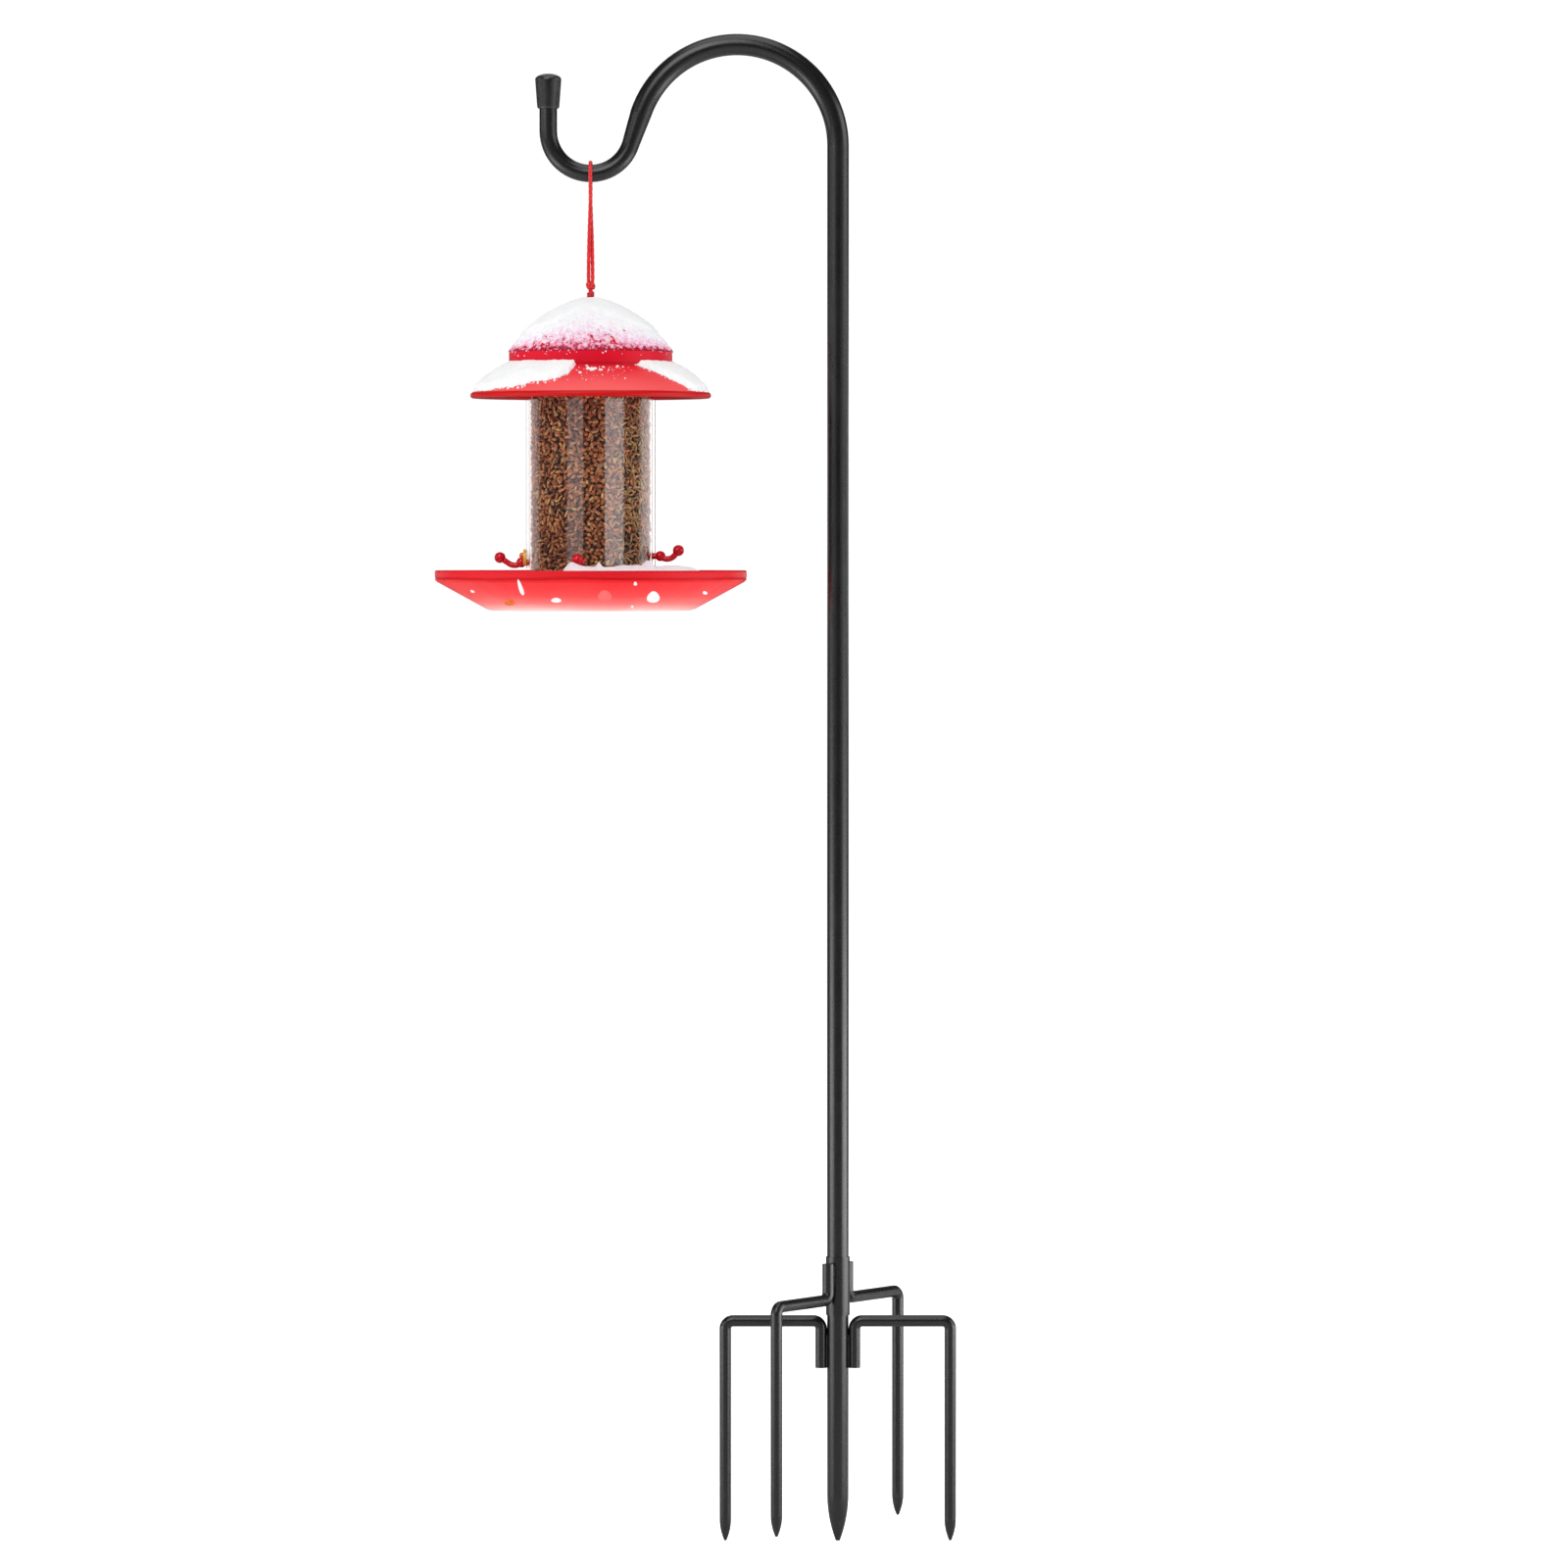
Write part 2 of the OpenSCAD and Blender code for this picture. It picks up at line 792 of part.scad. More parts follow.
stake_tube();
ground_spike();
prong_left();
prong_right();
collar_sleeve();
prong_front();
prong_rear();
pole_connector();
pole_lower();
pole_middle();
crook();
pole_couplers();
hook_end_cap();
cord_loop();
cord_strands();
cord_knot();
cord_tail();
hanger_stirrup();
center_rod();
top_nut();
tube_spider();
seed_tube();
seed_fill();
seed_deflector();
tray();
tray_washer();
wing_nut();
perch_front();
perch_left();
perch_rear();
perch_right();
port_guard();
port_bead();
roof_dome();
roof_brim();
roof_grommet();
roof_screws();
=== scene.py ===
import functools
import math
import random

import bpy
import numpy as np
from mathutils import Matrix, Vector, noise


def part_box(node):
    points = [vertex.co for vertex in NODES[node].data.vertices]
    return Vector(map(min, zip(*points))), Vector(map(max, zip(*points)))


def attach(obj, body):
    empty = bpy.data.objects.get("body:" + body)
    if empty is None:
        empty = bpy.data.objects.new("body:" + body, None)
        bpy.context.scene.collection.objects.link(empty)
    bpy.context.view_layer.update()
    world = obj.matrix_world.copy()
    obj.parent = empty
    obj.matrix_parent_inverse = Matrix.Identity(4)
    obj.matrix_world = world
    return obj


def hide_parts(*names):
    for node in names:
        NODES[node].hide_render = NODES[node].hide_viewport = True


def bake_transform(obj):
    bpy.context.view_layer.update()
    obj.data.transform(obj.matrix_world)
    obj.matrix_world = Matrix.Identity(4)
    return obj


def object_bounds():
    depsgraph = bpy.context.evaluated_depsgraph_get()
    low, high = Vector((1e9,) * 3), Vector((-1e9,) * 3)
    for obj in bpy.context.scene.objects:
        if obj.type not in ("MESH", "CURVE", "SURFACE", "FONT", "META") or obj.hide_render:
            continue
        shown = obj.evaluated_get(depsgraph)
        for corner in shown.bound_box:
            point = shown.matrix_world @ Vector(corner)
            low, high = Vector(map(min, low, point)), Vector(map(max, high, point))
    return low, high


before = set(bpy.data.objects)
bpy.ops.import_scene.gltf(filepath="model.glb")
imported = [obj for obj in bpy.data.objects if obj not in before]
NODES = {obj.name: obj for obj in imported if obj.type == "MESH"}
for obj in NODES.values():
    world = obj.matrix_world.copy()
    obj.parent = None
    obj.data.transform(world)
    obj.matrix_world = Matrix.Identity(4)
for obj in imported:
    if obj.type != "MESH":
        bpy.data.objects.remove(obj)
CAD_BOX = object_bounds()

# Metres, in the CAD model's own frame. Sizes are given in millimetres and multiplied by MM.
MM = 0.001
SCENE = bpy.context.scene
TAU = 2 * math.pi

# Places worked out from the CAD nodes
DOME_LOW, DOME_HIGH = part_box("roof_dome")
BRIM_LOW, BRIM_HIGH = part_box("roof_brim")
TRAY_LOW, TRAY_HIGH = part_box("tray")
TUBE_LOW, TUBE_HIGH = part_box("seed_tube")
SEED_LOW, SEED_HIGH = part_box("seed_fill")
KNOT_LOW, KNOT_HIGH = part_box("cord_knot")

AXIS_X = (TUBE_LOW[0] + TUBE_HIGH[0]) / 2  # the feeder's own vertical axis
TRAY_R = TRAY_HIGH[1]
BAND_R = DOME_HIGH[1]
STAKE_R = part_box("stake_tube")[1][0]
COLLAR_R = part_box("collar_sleeve")[1][0]
LOOP_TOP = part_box("cord_loop")[1][2]
GROUND_Z = CAD_BOX[0][2]


# ---- camera

EYE = Vector((-0.055, -8.5, 0.795))
AIM = Vector((-0.055, 0.0, 0.555))
FRAME_WIDTH = 1.6  # what the picture spans at the object
SENSOR = 36.0
FAR_CLIP = 60.0


def aim(obj, target):
    """Turns a camera or light to face a point."""
    obj.rotation_euler = (target - obj.location).to_track_quat("-Z", "Y").to_euler()


def make_camera():
    """The view from the front, looking very slightly down."""
    data = bpy.data.cameras.new("camera")
    data.sensor_width = SENSOR
    data.lens = SENSOR * (AIM - EYE).length / FRAME_WIDTH
    data.clip_end = FAR_CLIP
    camera = bpy.data.objects.new("camera", data)
    camera.location = EYE
    aim(camera, AIM)
    SCENE.collection.objects.link(camera)
    SCENE.camera = camera


make_camera()


# ---- mesh helpers

def make_piece(name, verts, faces, material, body=None, slot=None, smooth=True):
    """A mesh object from plain lists, riding on a body if one is named."""
    mesh = bpy.data.meshes.new(name)
    mesh.from_pydata(verts, [], faces)
    mesh.update()
    mesh.polygons.foreach_set("use_smooth", [smooth] * len(mesh.polygons))
    mesh.materials.append(material)
    obj = bpy.data.objects.new(name, mesh)
    SCENE.collection.objects.link(obj)
    if body:
        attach(obj, body)
    return obj


def tube_mesh(path, radius, sides, closed=False):
    """A tube along path. radius(k, j) is its radius at ring k and side j, with capped ends."""
    points = [Vector(p) for p in path]
    count = len(points)
    tangents = []
    for k in range(count):
        after = points[(k + 1) % count] if closed or k < count - 1 else points[k]
        before = points[k - 1] if closed or k > 0 else points[k]
        tangents.append((after - before).normalized())
    side = tangents[0].orthogonal().normalized()
    side_ways = [side]
    for k in range(1, count):
        side = (side - tangents[k] * side.dot(tangents[k])).normalized()
        side_ways.append(side)
    verts, faces = [], []
    for k in range(count):
        u = side_ways[k]
        v = tangents[k].cross(u)
        for j in range(sides):
            a = TAU * j / sides
            verts.append(points[k] + radius(k, j) * (math.cos(a) * u + math.sin(a) * v))
    for k in range(count if closed else count - 1):
        for j in range(sides):
            a, b = k * sides + j, k * sides + (j + 1) % sides
            c, d = ((k + 1) % count) * sides + (j + 1) % sides, ((k + 1) % count) * sides + j
            faces.append((a, b, c, d))
    if not closed:
        faces.append(tuple(range(sides - 1, -1, -1)))
        faces.append(tuple((count - 1) * sides + j for j in range(sides)))
    return verts, faces


def join_parts(parts):
    """Several (verts, faces) lists as one."""
    verts, faces = [], []
    for v, f in parts:
        start = len(verts)
        verts.extend(v)
        faces.extend(tuple(i + start for i in face) for face in f)
    return verts, faces


def turned(a, r, z):
    """The place at azimuth a, in radians, and distance r from the feeder's axis."""
    return AXIS_X + r * math.cos(a), r * math.sin(a), z


def lathe_mesh(profile, steps):
    """A closed outline of (r, z) points turned round the feeder's axis."""
    verts = [turned(TAU * i / steps, r, z) for i in range(steps) for r, z in profile]
    n = len(profile)
    faces = [(i * n + k, ((i + 1) % steps) * n + k, ((i + 1) % steps) * n + (k + 1) % n, i * n + (k + 1) % n)
             for i in range(steps) for k in range(n)]
    return verts, faces


def ring_faces(bands, around):
    """Faces between rings of vertices that follow each other."""
    return [(k * around + j, (k + 1) * around + j, (k + 1) * around + (j + 1) % around,
             k * around + (j + 1) % around) for k in range(bands) for j in range(around)]


def blob_mesh(centre, size, rng, normal, flat, rough, rings, around):
    """A small lump: a sphere with uneven radii, flattened along normal."""
    n = Vector(normal).normalized()
    u = n.orthogonal().normalized()
    v = n.cross(u)
    turn = rng.uniform(0, TAU)
    verts = []
    for k in range(1, rings):
        polar = math.pi * k / rings
        for j in range(around):
            a = TAU * j / around + turn
            r = size * rng.uniform(1 - rough, 1 + rough)
            out = r * math.sin(polar)
            verts.append(Vector(centre) + out * (math.cos(a) * u + math.sin(a) * v)
                         + flat * r * math.cos(polar) * n)
    top, low = len(verts), len(verts) + 1
    verts.append(Vector(centre) + flat * size * n)
    verts.append(Vector(centre) - flat * size * n)
    faces = ring_faces(rings - 2, around)
    for j in range(around):
        faces.append((top, j, (j + 1) % around))
        last = (rings - 2) * around
        faces.append((low, last + (j + 1) % around, last + j))
    return verts, faces


def coat_mesh(point, thickness, steps_a, steps_t, sink):
    """A closed layer on a surface: point(a, t, h) is a place h above it, and there is a layer
    wherever thickness(a, t) is above 0. Its thin edges dip a little below the surface."""
    verts, faces = [], []
    angles = [TAU * i / steps_a for i in range(steps_a)]
    along = [j / steps_t for j in range(steps_t + 1)]
    thick = [[thickness(a, t) for t in along] for a in angles]
    kept = [[max(thick[i][j], thick[(i + 1) % steps_a][j], thick[i][j + 1],
                 thick[(i + 1) % steps_a][j + 1]) > 0 for j in range(steps_t)] for i in range(steps_a)]
    index = {}

    def vertex(i, j, low):
        i %= steps_a
        key = (i, j, low)
        if key not in index:
            index[key] = len(verts)
            h = -sink if low else max(thick[i][j], -0.5 * sink)
            verts.append(point(angles[i], along[j], h))
        return index[key]

    for i in range(steps_a):
        for j in range(steps_t):
            if not kept[i][j]:
                continue
            corners = ((i, j), (i + 1, j), (i + 1, j + 1), (i, j + 1))
            faces.append(tuple(vertex(p, q, False) for p, q in corners))
            faces.append(tuple(vertex(p, q, True) for p, q in reversed(corners)))
            beyond = ((i, j - 1), (i + 1, j), (i, j + 1), (i - 1, j))
            for e in range(4):
                p, q = beyond[e]
                if 0 <= q < steps_t and kept[p % steps_a][q]:
                    continue
                a, b = corners[e], corners[(e + 1) % 4]
                faces.append((vertex(*b, False), vertex(*a, False), vertex(*a, True), vertex(*b, True)))
    return verts, faces


def ripple(x, y, z, scale, seed=0.0):
    """Smooth noise from -1 to 1 over a length of about scale metres."""
    return noise.noise(Vector((x / scale + seed, y / scale - seed, z / scale + 0.5 * seed)))


# ---- material helpers

class Painter:
    """Builds one procedural material round a Principled shader."""

    def __init__(self, name):
        self.material = bpy.data.materials.new(name)
        self.material.use_nodes = True
        self.tree = self.material.node_tree
        self.shader = self.tree.nodes["Principled BSDF"]
        self.place = self.node("ShaderNodeTexCoord").outputs["Object"]

    def node(self, kind, values=None, **settings):
        """A new node, with plain values on its named sockets and settings on the node itself."""
        made = self.tree.nodes.new(kind)
        for key, value in settings.items():
            setattr(made, key, value)
        for key, value in (values or {}).items():
            made.inputs[key].default_value = value
        return made

    def link(self, a, b):
        self.tree.links.new(a, b)

    def set(self, **values):
        """Plain values on the shader's own sockets; an underscore in a name stands for a space."""
        for key, value in values.items():
            self.shader.inputs[key.replace("_", " ")].default_value = value

    def noise(self, scale, detail=4.0, roughness=0.55, stretch=None):
        made = self.node("ShaderNodeTexNoise", {"Scale": scale, "Detail": detail, "Roughness": roughness})
        place = self.place
        if stretch:
            mapping = self.node("ShaderNodeMapping", {"Scale": stretch})
            self.link(place, mapping.inputs["Vector"])
            place = mapping.outputs["Vector"]
        self.link(place, made.inputs["Vector"])
        return made.outputs["Fac"]

    def cells(self, scale):
        made = self.node("ShaderNodeTexVoronoi", {"Scale": scale})
        self.link(self.place, made.inputs["Vector"])
        return made.outputs["Distance"]

    def ramp(self, value, stops):
        """Colour by value, from (position, colour) stops."""
        made = self.node("ShaderNodeValToRGB")
        items = made.color_ramp.elements
        while len(items) < len(stops):
            items.new(0.5)
        for item, (position, colour) in zip(items, stops):
            item.position = position
            item.color = (*colour, 1)
        self.link(value, made.inputs["Fac"])
        return made.outputs["Color"]

    def scaled(self, value, low, high, from_low=0.3, from_high=0.7):
        """Moves the middle of a noise, or another span, to the span from low to high."""
        made = self.node("ShaderNodeMapRange", {"From Min": from_low, "From Max": from_high,
                                                "To Min": low, "To Max": high})
        self.link(value, made.inputs["Value"])
        return made.outputs["Result"]

    def math(self, operation, a, b):
        made = self.node("ShaderNodeMath", operation=operation)
        for socket, value in zip(made.inputs, (a, b)):
            if isinstance(value, (int, float)):
                socket.default_value = value
            else:
                self.link(value, socket)
        return made.outputs["Value"]

    def mixed(self, fac, a, b, blend="MIX"):
        made = self.node("ShaderNodeMix", data_type="RGBA", blend_type=blend)
        for socket, value in ((made.inputs[0], fac), (made.inputs[6], a), (made.inputs[7], b)):
            if isinstance(value, (int, float)):
                socket.default_value = value
            elif isinstance(value, tuple):
                socket.default_value = (*value, 1)
            else:
                self.link(value, socket)
        return made.outputs[2]

    def height(self):
        made = self.node("ShaderNodeSeparateXYZ")
        self.link(self.place, made.inputs[0])
        return made.outputs["Z"]

    def colour(self, value):
        self.link(value, self.shader.inputs["Base Color"])

    def gloss(self, value, low, high):
        self.link(self.scaled(value, low, high), self.shader.inputs["Roughness"])

    def bump(self, value, distance, strength=1.0, under=None):
        made = self.node("ShaderNodeBump", {"Strength": strength, "Distance": distance})
        self.link(value, made.inputs["Height"])
        if under is not None:
            self.link(under, made.inputs["Normal"])
        self.link(made.outputs["Normal"], self.shader.inputs["Normal"])
        return made.outputs["Normal"]


# ---- materials

DOME_FADE = 24 * MM  # the height over which the dome's colour changes
WEAR_HEIGHT = 100 * MM  # how far up the ground points the paint is worn
CLEAR_SHARE = (0.044, 0.056)  # how much of the light a clear face mirrors, square on
CLEAR_MOST = 0.75


def black_steel():
    """Satin powder coat: an orange-peel skin, a little dust, and wear on the ground points."""
    p = Painter("black_powder_coat")
    p.set(Specular_IOR_Level=0.5)
    tone = p.ramp(p.noise(55, 5), [(0.3, (0.0040, 0.0040, 0.0043)), (0.7, (0.0065, 0.0065, 0.0070))])
    low = p.scaled(p.height(), 1.0, 0.0, GROUND_Z, GROUND_Z + WEAR_HEIGHT)
    scuffs = p.scaled(p.noise(170, 6, 0.7, (1, 1, 0.35)), 0.0, 1.0, 0.56, 0.66)
    worn = p.math("MULTIPLY", low, scuffs)
    p.colour(p.mixed(p.math("MULTIPLY", worn, 0.35), tone, (0.11, 0.105, 0.10)))
    p.gloss(p.noise(38, 5), 0.24, 0.31)
    peel = p.bump(p.noise(900, 2, 0.5), 0.00006)
    p.bump(p.cells(2600), 0.00002, 0.6, peel)
    return p.material


def plain_stuff(name, deep, bright, drift, gloss, low, high, skin=None, depth=0.0, **values):
    """Colour that drifts from deep to bright, roughness from low to high, and a fine skin. drift, gloss
    and skin are what each one's noise takes."""
    p = Painter(name)
    p.set(**values)
    p.colour(p.ramp(p.noise(*drift), [(0.3, deep), (0.7, bright)]))
    p.gloss(p.noise(*gloss), low, high)
    if skin:
        p.bump(p.noise(*skin), depth)
    return p.material


def plain_metal(name, deep, bright, low, high):
    """Bare metal with a fine vertical grain."""
    return plain_stuff(name, deep, bright, (120, 6, 0.6), (300, 4), low, high,
                       (1500, 3, 0.5, (1, 1, 0.15)), 0.00003, Metallic=1.0)


def glossy_trim(name, deep, bright):
    """Small shiny moulded parts."""
    return plain_stuff(name, deep, bright, (60, 3), (120, 3), 0.22, 0.36, (600, 2), 0.00005)


def matte_drop(name, deep, bright):
    """A dried or melted drop on the tray: no clear highlight."""
    return plain_stuff(name, deep, bright, (300, 3), (120, 3), 0.5, 0.65, Specular_IOR_Level=0.1)


def red_plastic(name, deep, bright, low, high, peel=0.00006):
    """Injection-moulded red plastic with slow colour drift and a fine orange-peel skin."""
    p = Painter(name)
    p.set(Specular_IOR_Level=0.35, Subsurface_Weight=0.06, Subsurface_Radius=(0.004, 0.001, 0.001))
    p.colour(p.ramp(p.noise(24, 4), [(0.3, deep), (0.7, bright)]))
    p.gloss(p.noise(70, 4), low, high)
    first = p.bump(p.noise(420, 2, 0.45), peel)
    p.bump(p.noise(60, 2), 0.00018, 0.5, first)
    return p.material


def by_height(p, low, high, stops, waver):
    """Colour that changes with height from low to high, along lines that waver a little."""
    height = p.math("ADD", p.height(), p.scaled(p.noise(16, 4), -waver, waver))
    return p.ramp(p.scaled(height, 0.0, 1.0, low, high), stops)


def dome_plastic():
    """Red, with a painted shade line in the crease where the dome meets the band."""
    p = Painter("dome_red")
    p.set(Specular_IOR_Level=0.14)
    # The dark stops just above the band are painted shade in the crease at the dome's foot.
    p.colour(by_height(p, DOME_LOW[2], DOME_LOW[2] + DOME_FADE, [
        (0.00, (0.66, 0.006, 0.022)), (0.50, (0.70, 0.004, 0.024)), (0.515, (0.30, 0.003, 0.012)),
        (0.60, (0.42, 0.006, 0.020)), (0.78, (0.66, 0.012, 0.036)), (1.00, (0.66, 0.012, 0.036))], 0.2 * MM))
    p.gloss(p.noise(70, 4), 0.34, 0.44)
    p.bump(p.noise(420, 2, 0.45), 0.00005)
    return p.material


def tray_plastic():
    """The tray's red pales to pink towards its base, painted light from the floor's bounce, with a dark line
    of painted shade in the groove under the rim band.
    """
    p = Painter("tray_red_painted_light")
    p.set(Specular_IOR_Level=0.15, Subsurface_Weight=0.10, Subsurface_Radius=(0.006, 0.002, 0.002))
    # Painted light and shade by height: the pale pinks low down stand for the floor's bounce, and the dark
    # stop at 0.79 is the groove's shade under the rim band.
    painted_light_and_shade = by_height(p, TRAY_LOW[2], TRAY_HIGH[2], [
        (0.00, (0.98, 0.66, 0.62)), (0.07, (0.97, 0.40, 0.38)), (0.18, (0.96, 0.17, 0.165)),
        (0.36, (0.93, 0.058, 0.060)), (0.55, (0.90, 0.024, 0.030)), (0.74, (0.86, 0.010, 0.016)),
        (0.79, (0.52, 0.004, 0.010)), (0.86, (0.72, 0.012, 0.018)), (1.00, (0.68, 0.008, 0.020))], 1.2 * MM)
    blotches = p.scaled(p.noise(30, 5), 0.90, 1.06)
    p.colour(p.mixed(1.0, painted_light_and_shade, p.ramp(blotches, [(0.0, (0.9, 0.9, 0.9)), (1.0, (1, 1, 1))]), "MULTIPLY"))
    p.gloss(p.noise(50, 4), 0.34, 0.46)
    p.bump(p.noise(420, 2, 0.45), 0.00005)
    return p.material


def brim_plastic():
    """The skirt pales from red under the band to salmon above its rolled rim, a painted sheen; the rolled
    rim's deep red and the dark line just above it are painted shade.
    """
    p = Painter("brim_red_painted_light")
    p.set(Specular_IOR_Level=0.15, Subsurface_Weight=0.08, Subsurface_Radius=(0.005, 0.0015, 0.0015))
    # Painted light and shade by height: the dark stops at the rim and the crease above it are painted shade,
    # and the pale salmon above them is a painted sheen.
    p.colour(by_height(p, BRIM_LOW[2], BRIM_HIGH[2], [
        (0.00, (0.46, 0.002, 0.004)), (0.12, (0.60, 0.006, 0.008)), (0.165, (0.50, 0.003, 0.005)),
        (0.19, (0.90, 0.105, 0.105)), (0.42, (0.88, 0.080, 0.088)), (0.70, (0.83, 0.038, 0.052)),
        (1.00, (0.70, 0.008, 0.026))], 0.3 * MM))
    p.gloss(p.noise(70, 4), 0.32, 0.42)
    p.bump(p.noise(420, 2, 0.45), 0.00006)
    return p.material


def clear_plastic():
    """Clear tube wall: see-through, with mirror-like gloss that grows towards its edges."""
    p = Painter("clear_tube")
    tree = p.tree
    tree.nodes.remove(p.shader)
    gloss = p.node("ShaderNodeBsdfGlossy", {"Color": (1, 0.96, 0.98, 1)})
    p.link(p.scaled(p.noise(30, 3), 0.03, 0.07), gloss.inputs["Roughness"])
    waves = p.node("ShaderNodeBump", {"Distance": 0.0002, "Strength": 0.5})
    p.link(p.noise(14, 2, 0.4, (1, 1, 0.25)), waves.inputs["Height"])
    p.link(waves.outputs["Normal"], gloss.inputs["Normal"])
    clear = p.node("ShaderNodeBsdfTransparent", {"Color": (0.985, 0.97, 0.96, 1)})
    # Schlick's share of mirrored light, the same on the outer and the inner face of the wall
    facing = p.node("ShaderNodeLayerWeight", {"Blend": 0.5}).outputs["Facing"]
    grazing = p.math("MULTIPLY", p.math("POWER", facing, 5.0), 0.96)
    haze = p.scaled(p.noise(90, 5), *CLEAR_SHARE)
    share = p.math("MINIMUM", p.math("ADD", grazing, haze), CLEAR_MOST)
    shadow = p.node("ShaderNodeLightPath").outputs["Is Shadow Ray"]
    lit = p.math("MULTIPLY", share, p.math("SUBTRACT", 1.0, shadow))
    mix = p.node("ShaderNodeMixShader")
    p.link(lit, mix.inputs["Fac"])
    p.link(clear.outputs["BSDF"], mix.inputs[1])
    p.link(gloss.outputs["BSDF"], mix.inputs[2])
    p.link(mix.outputs["Shader"], tree.nodes["Material Output"].inputs["Surface"])
    return p.material


def snow_crust(name, shade, light):
    """Packed snow, a shade darker in its hollows."""
    p = Painter(name)
    p.set(Subsurface_Weight=0.35, Subsurface_Radius=(0.004, 0.005, 0.006), Specular_IOR_Level=0.25)
    p.colour(p.ramp(p.noise(60, 6), [(0.3, shade), (0.65, light)]))
    p.gloss(p.noise(200, 4), 0.55, 0.8)
    first = p.bump(p.noise(1100, 4, 0.65), 0.00035, 0.8)
    p.bump(p.cells(700), 0.0003, 0.5, first)
    return p.material


def snow_thin():
    """Thin crumbly snow. Its "cover" attribute runs from 0, where red shows through, to 1, all white. The
    darkest red, at the lowest cover near the dome's foot, is painted shade.
    """
    p = Painter("snow_thin")
    p.set(Subsurface_Weight=0.3, Subsurface_Radius=(0.006, 0.002, 0.003), Specular_IOR_Level=0.25)
    cover = p.node("ShaderNodeAttribute", attribute_name="cover").outputs["Fac"]
    share = p.math("ADD", cover, p.scaled(p.noise(230, 5, 0.7), -0.40, 0.40))
    # Low cover shows the red through the snow; the first stop's dark red, darker than the dome, is painted
    # shade at the dome's foot.
    p.colour(p.ramp(share, [(0.00, (0.36, 0.012, 0.060)), (0.12, (0.72, 0.120, 0.220)),
                            (0.30, (0.86, 0.430, 0.560)), (0.55, (0.90, 0.700, 0.830)),
                            (0.90, (0.95, 0.930, 0.965))]))
    p.gloss(p.noise(200, 4), 0.5, 0.8)
    p.bump(p.noise(1300, 4, 0.65), 0.0004, 0.9)
    return p.material


def seed_husk():
    """Each seed has its own tone, kept as a number on its vertices."""
    p = Painter("mixed_seed")
    p.set(Specular_IOR_Level=0.4)
    tone = p.node("ShaderNodeAttribute", attribute_name="tone").outputs["Fac"]
    base = p.ramp(tone, [(0.00, (0.055, 0.020, 0.012)), (0.20, (0.170, 0.056, 0.026)),
                         (0.38, (0.360, 0.125, 0.052)), (0.55, (0.560, 0.210, 0.080)),
                         (0.68, (0.740, 0.340, 0.140)), (0.78, (0.300, 0.220, 0.150)),
                         (0.88, (0.620, 0.400, 0.150)), (1.00, (0.780, 0.540, 0.240))])
    streaks = p.ramp(p.noise(650, 4, 0.6), [(0.32, (0.55, 0.50, 0.48)), (0.66, (1.0, 1.0, 1.0))])
    p.colour(p.mixed(0.8, base, streaks, "MULTIPLY"))
    p.gloss(p.noise(300, 3), 0.38, 0.62)
    p.bump(p.noise(1700, 3, 0.6), 0.00012)
    return p.material


def seed_painted_shade():
    """The heap's inside, seen between the seeds, painted dark: painted shade in the gaps."""
    p = Painter("seed_painted_shade")
    p.colour(p.ramp(p.cells(260), [(0.0, (0.170, 0.075, 0.040)), (0.5, (0.050, 0.022, 0.014))]))
    p.gloss(p.noise(300, 3), 0.7, 0.9)
    p.bump(p.noise(900, 4), 0.0005)
    return p.material


STEEL = black_steel()
CAP = plain_stuff("black_moulded_cap", (0.006, 0.006, 0.0065), (0.013, 0.013, 0.014), (80, 4), (60, 3),
                  0.24, 0.34, (700, 2, 0.5, (1, 1, 0.3)), 0.00005, Specular_IOR_Level=0.6)
PLUG = plain_metal("grey_plug_steel", (0.10, 0.10, 0.11), (0.20, 0.20, 0.21), 0.35, 0.5)
ZINC = plain_metal("zinc_plate", (0.50, 0.51, 0.54), (0.72, 0.73, 0.75), 0.22, 0.38)
RED = red_plastic("red_moulding", (0.60, 0.005, 0.020), (0.72, 0.010, 0.030), 0.30, 0.40)
DOME_RED = dome_plastic()
PERCH_RED = red_plastic("red_gloss", (0.56, 0.003, 0.012), (0.72, 0.006, 0.018), 0.10, 0.18, 0.00003)
GROMMET_RED = red_plastic("red_rubber", (0.20, 0.004, 0.008), (0.28, 0.007, 0.012), 0.45, 0.6)
TRAY_RED = tray_plastic()
BRIM_RED = brim_plastic()
CLEAR = clear_plastic()
SNOW = snow_crust("snow", (0.90, 0.915, 0.93), (0.96, 0.965, 0.97))
SNOW_TRAY = snow_crust("snow_in_tray", (0.93, 0.80, 0.86), (0.97, 0.93, 0.95))
SNOW_THIN = snow_thin()
CORD = plain_stuff("red_cord", (0.56, 0.004, 0.006), (0.78, 0.012, 0.016), (500, 4), (400, 3), 0.32, 0.48,
                   (3200, 2, 0.5, (1, 1, 0.2)), 0.00008, Specular_IOR_Level=0.45, Sheen_Weight=0.25,
                   Sheen_Roughness=0.4)
SEED = seed_husk()
# Painted shade: the dark core seen between the seeds.
SEED_SHADE = seed_painted_shade()
YELLOW = glossy_trim("yellow_trim", (0.74, 0.36, 0.02), (0.86, 0.50, 0.05))
MELT = matte_drop("melted_drop", (0.93, 0.14, 0.14), (0.94, 0.16, 0.16))
RUST = matte_drop("orange_drop", (0.72, 0.11, 0.02), (0.84, 0.20, 0.04))
ORANGE = glossy_trim("orange_trim", (0.74, 0.16, 0.015), (0.86, 0.26, 0.03))

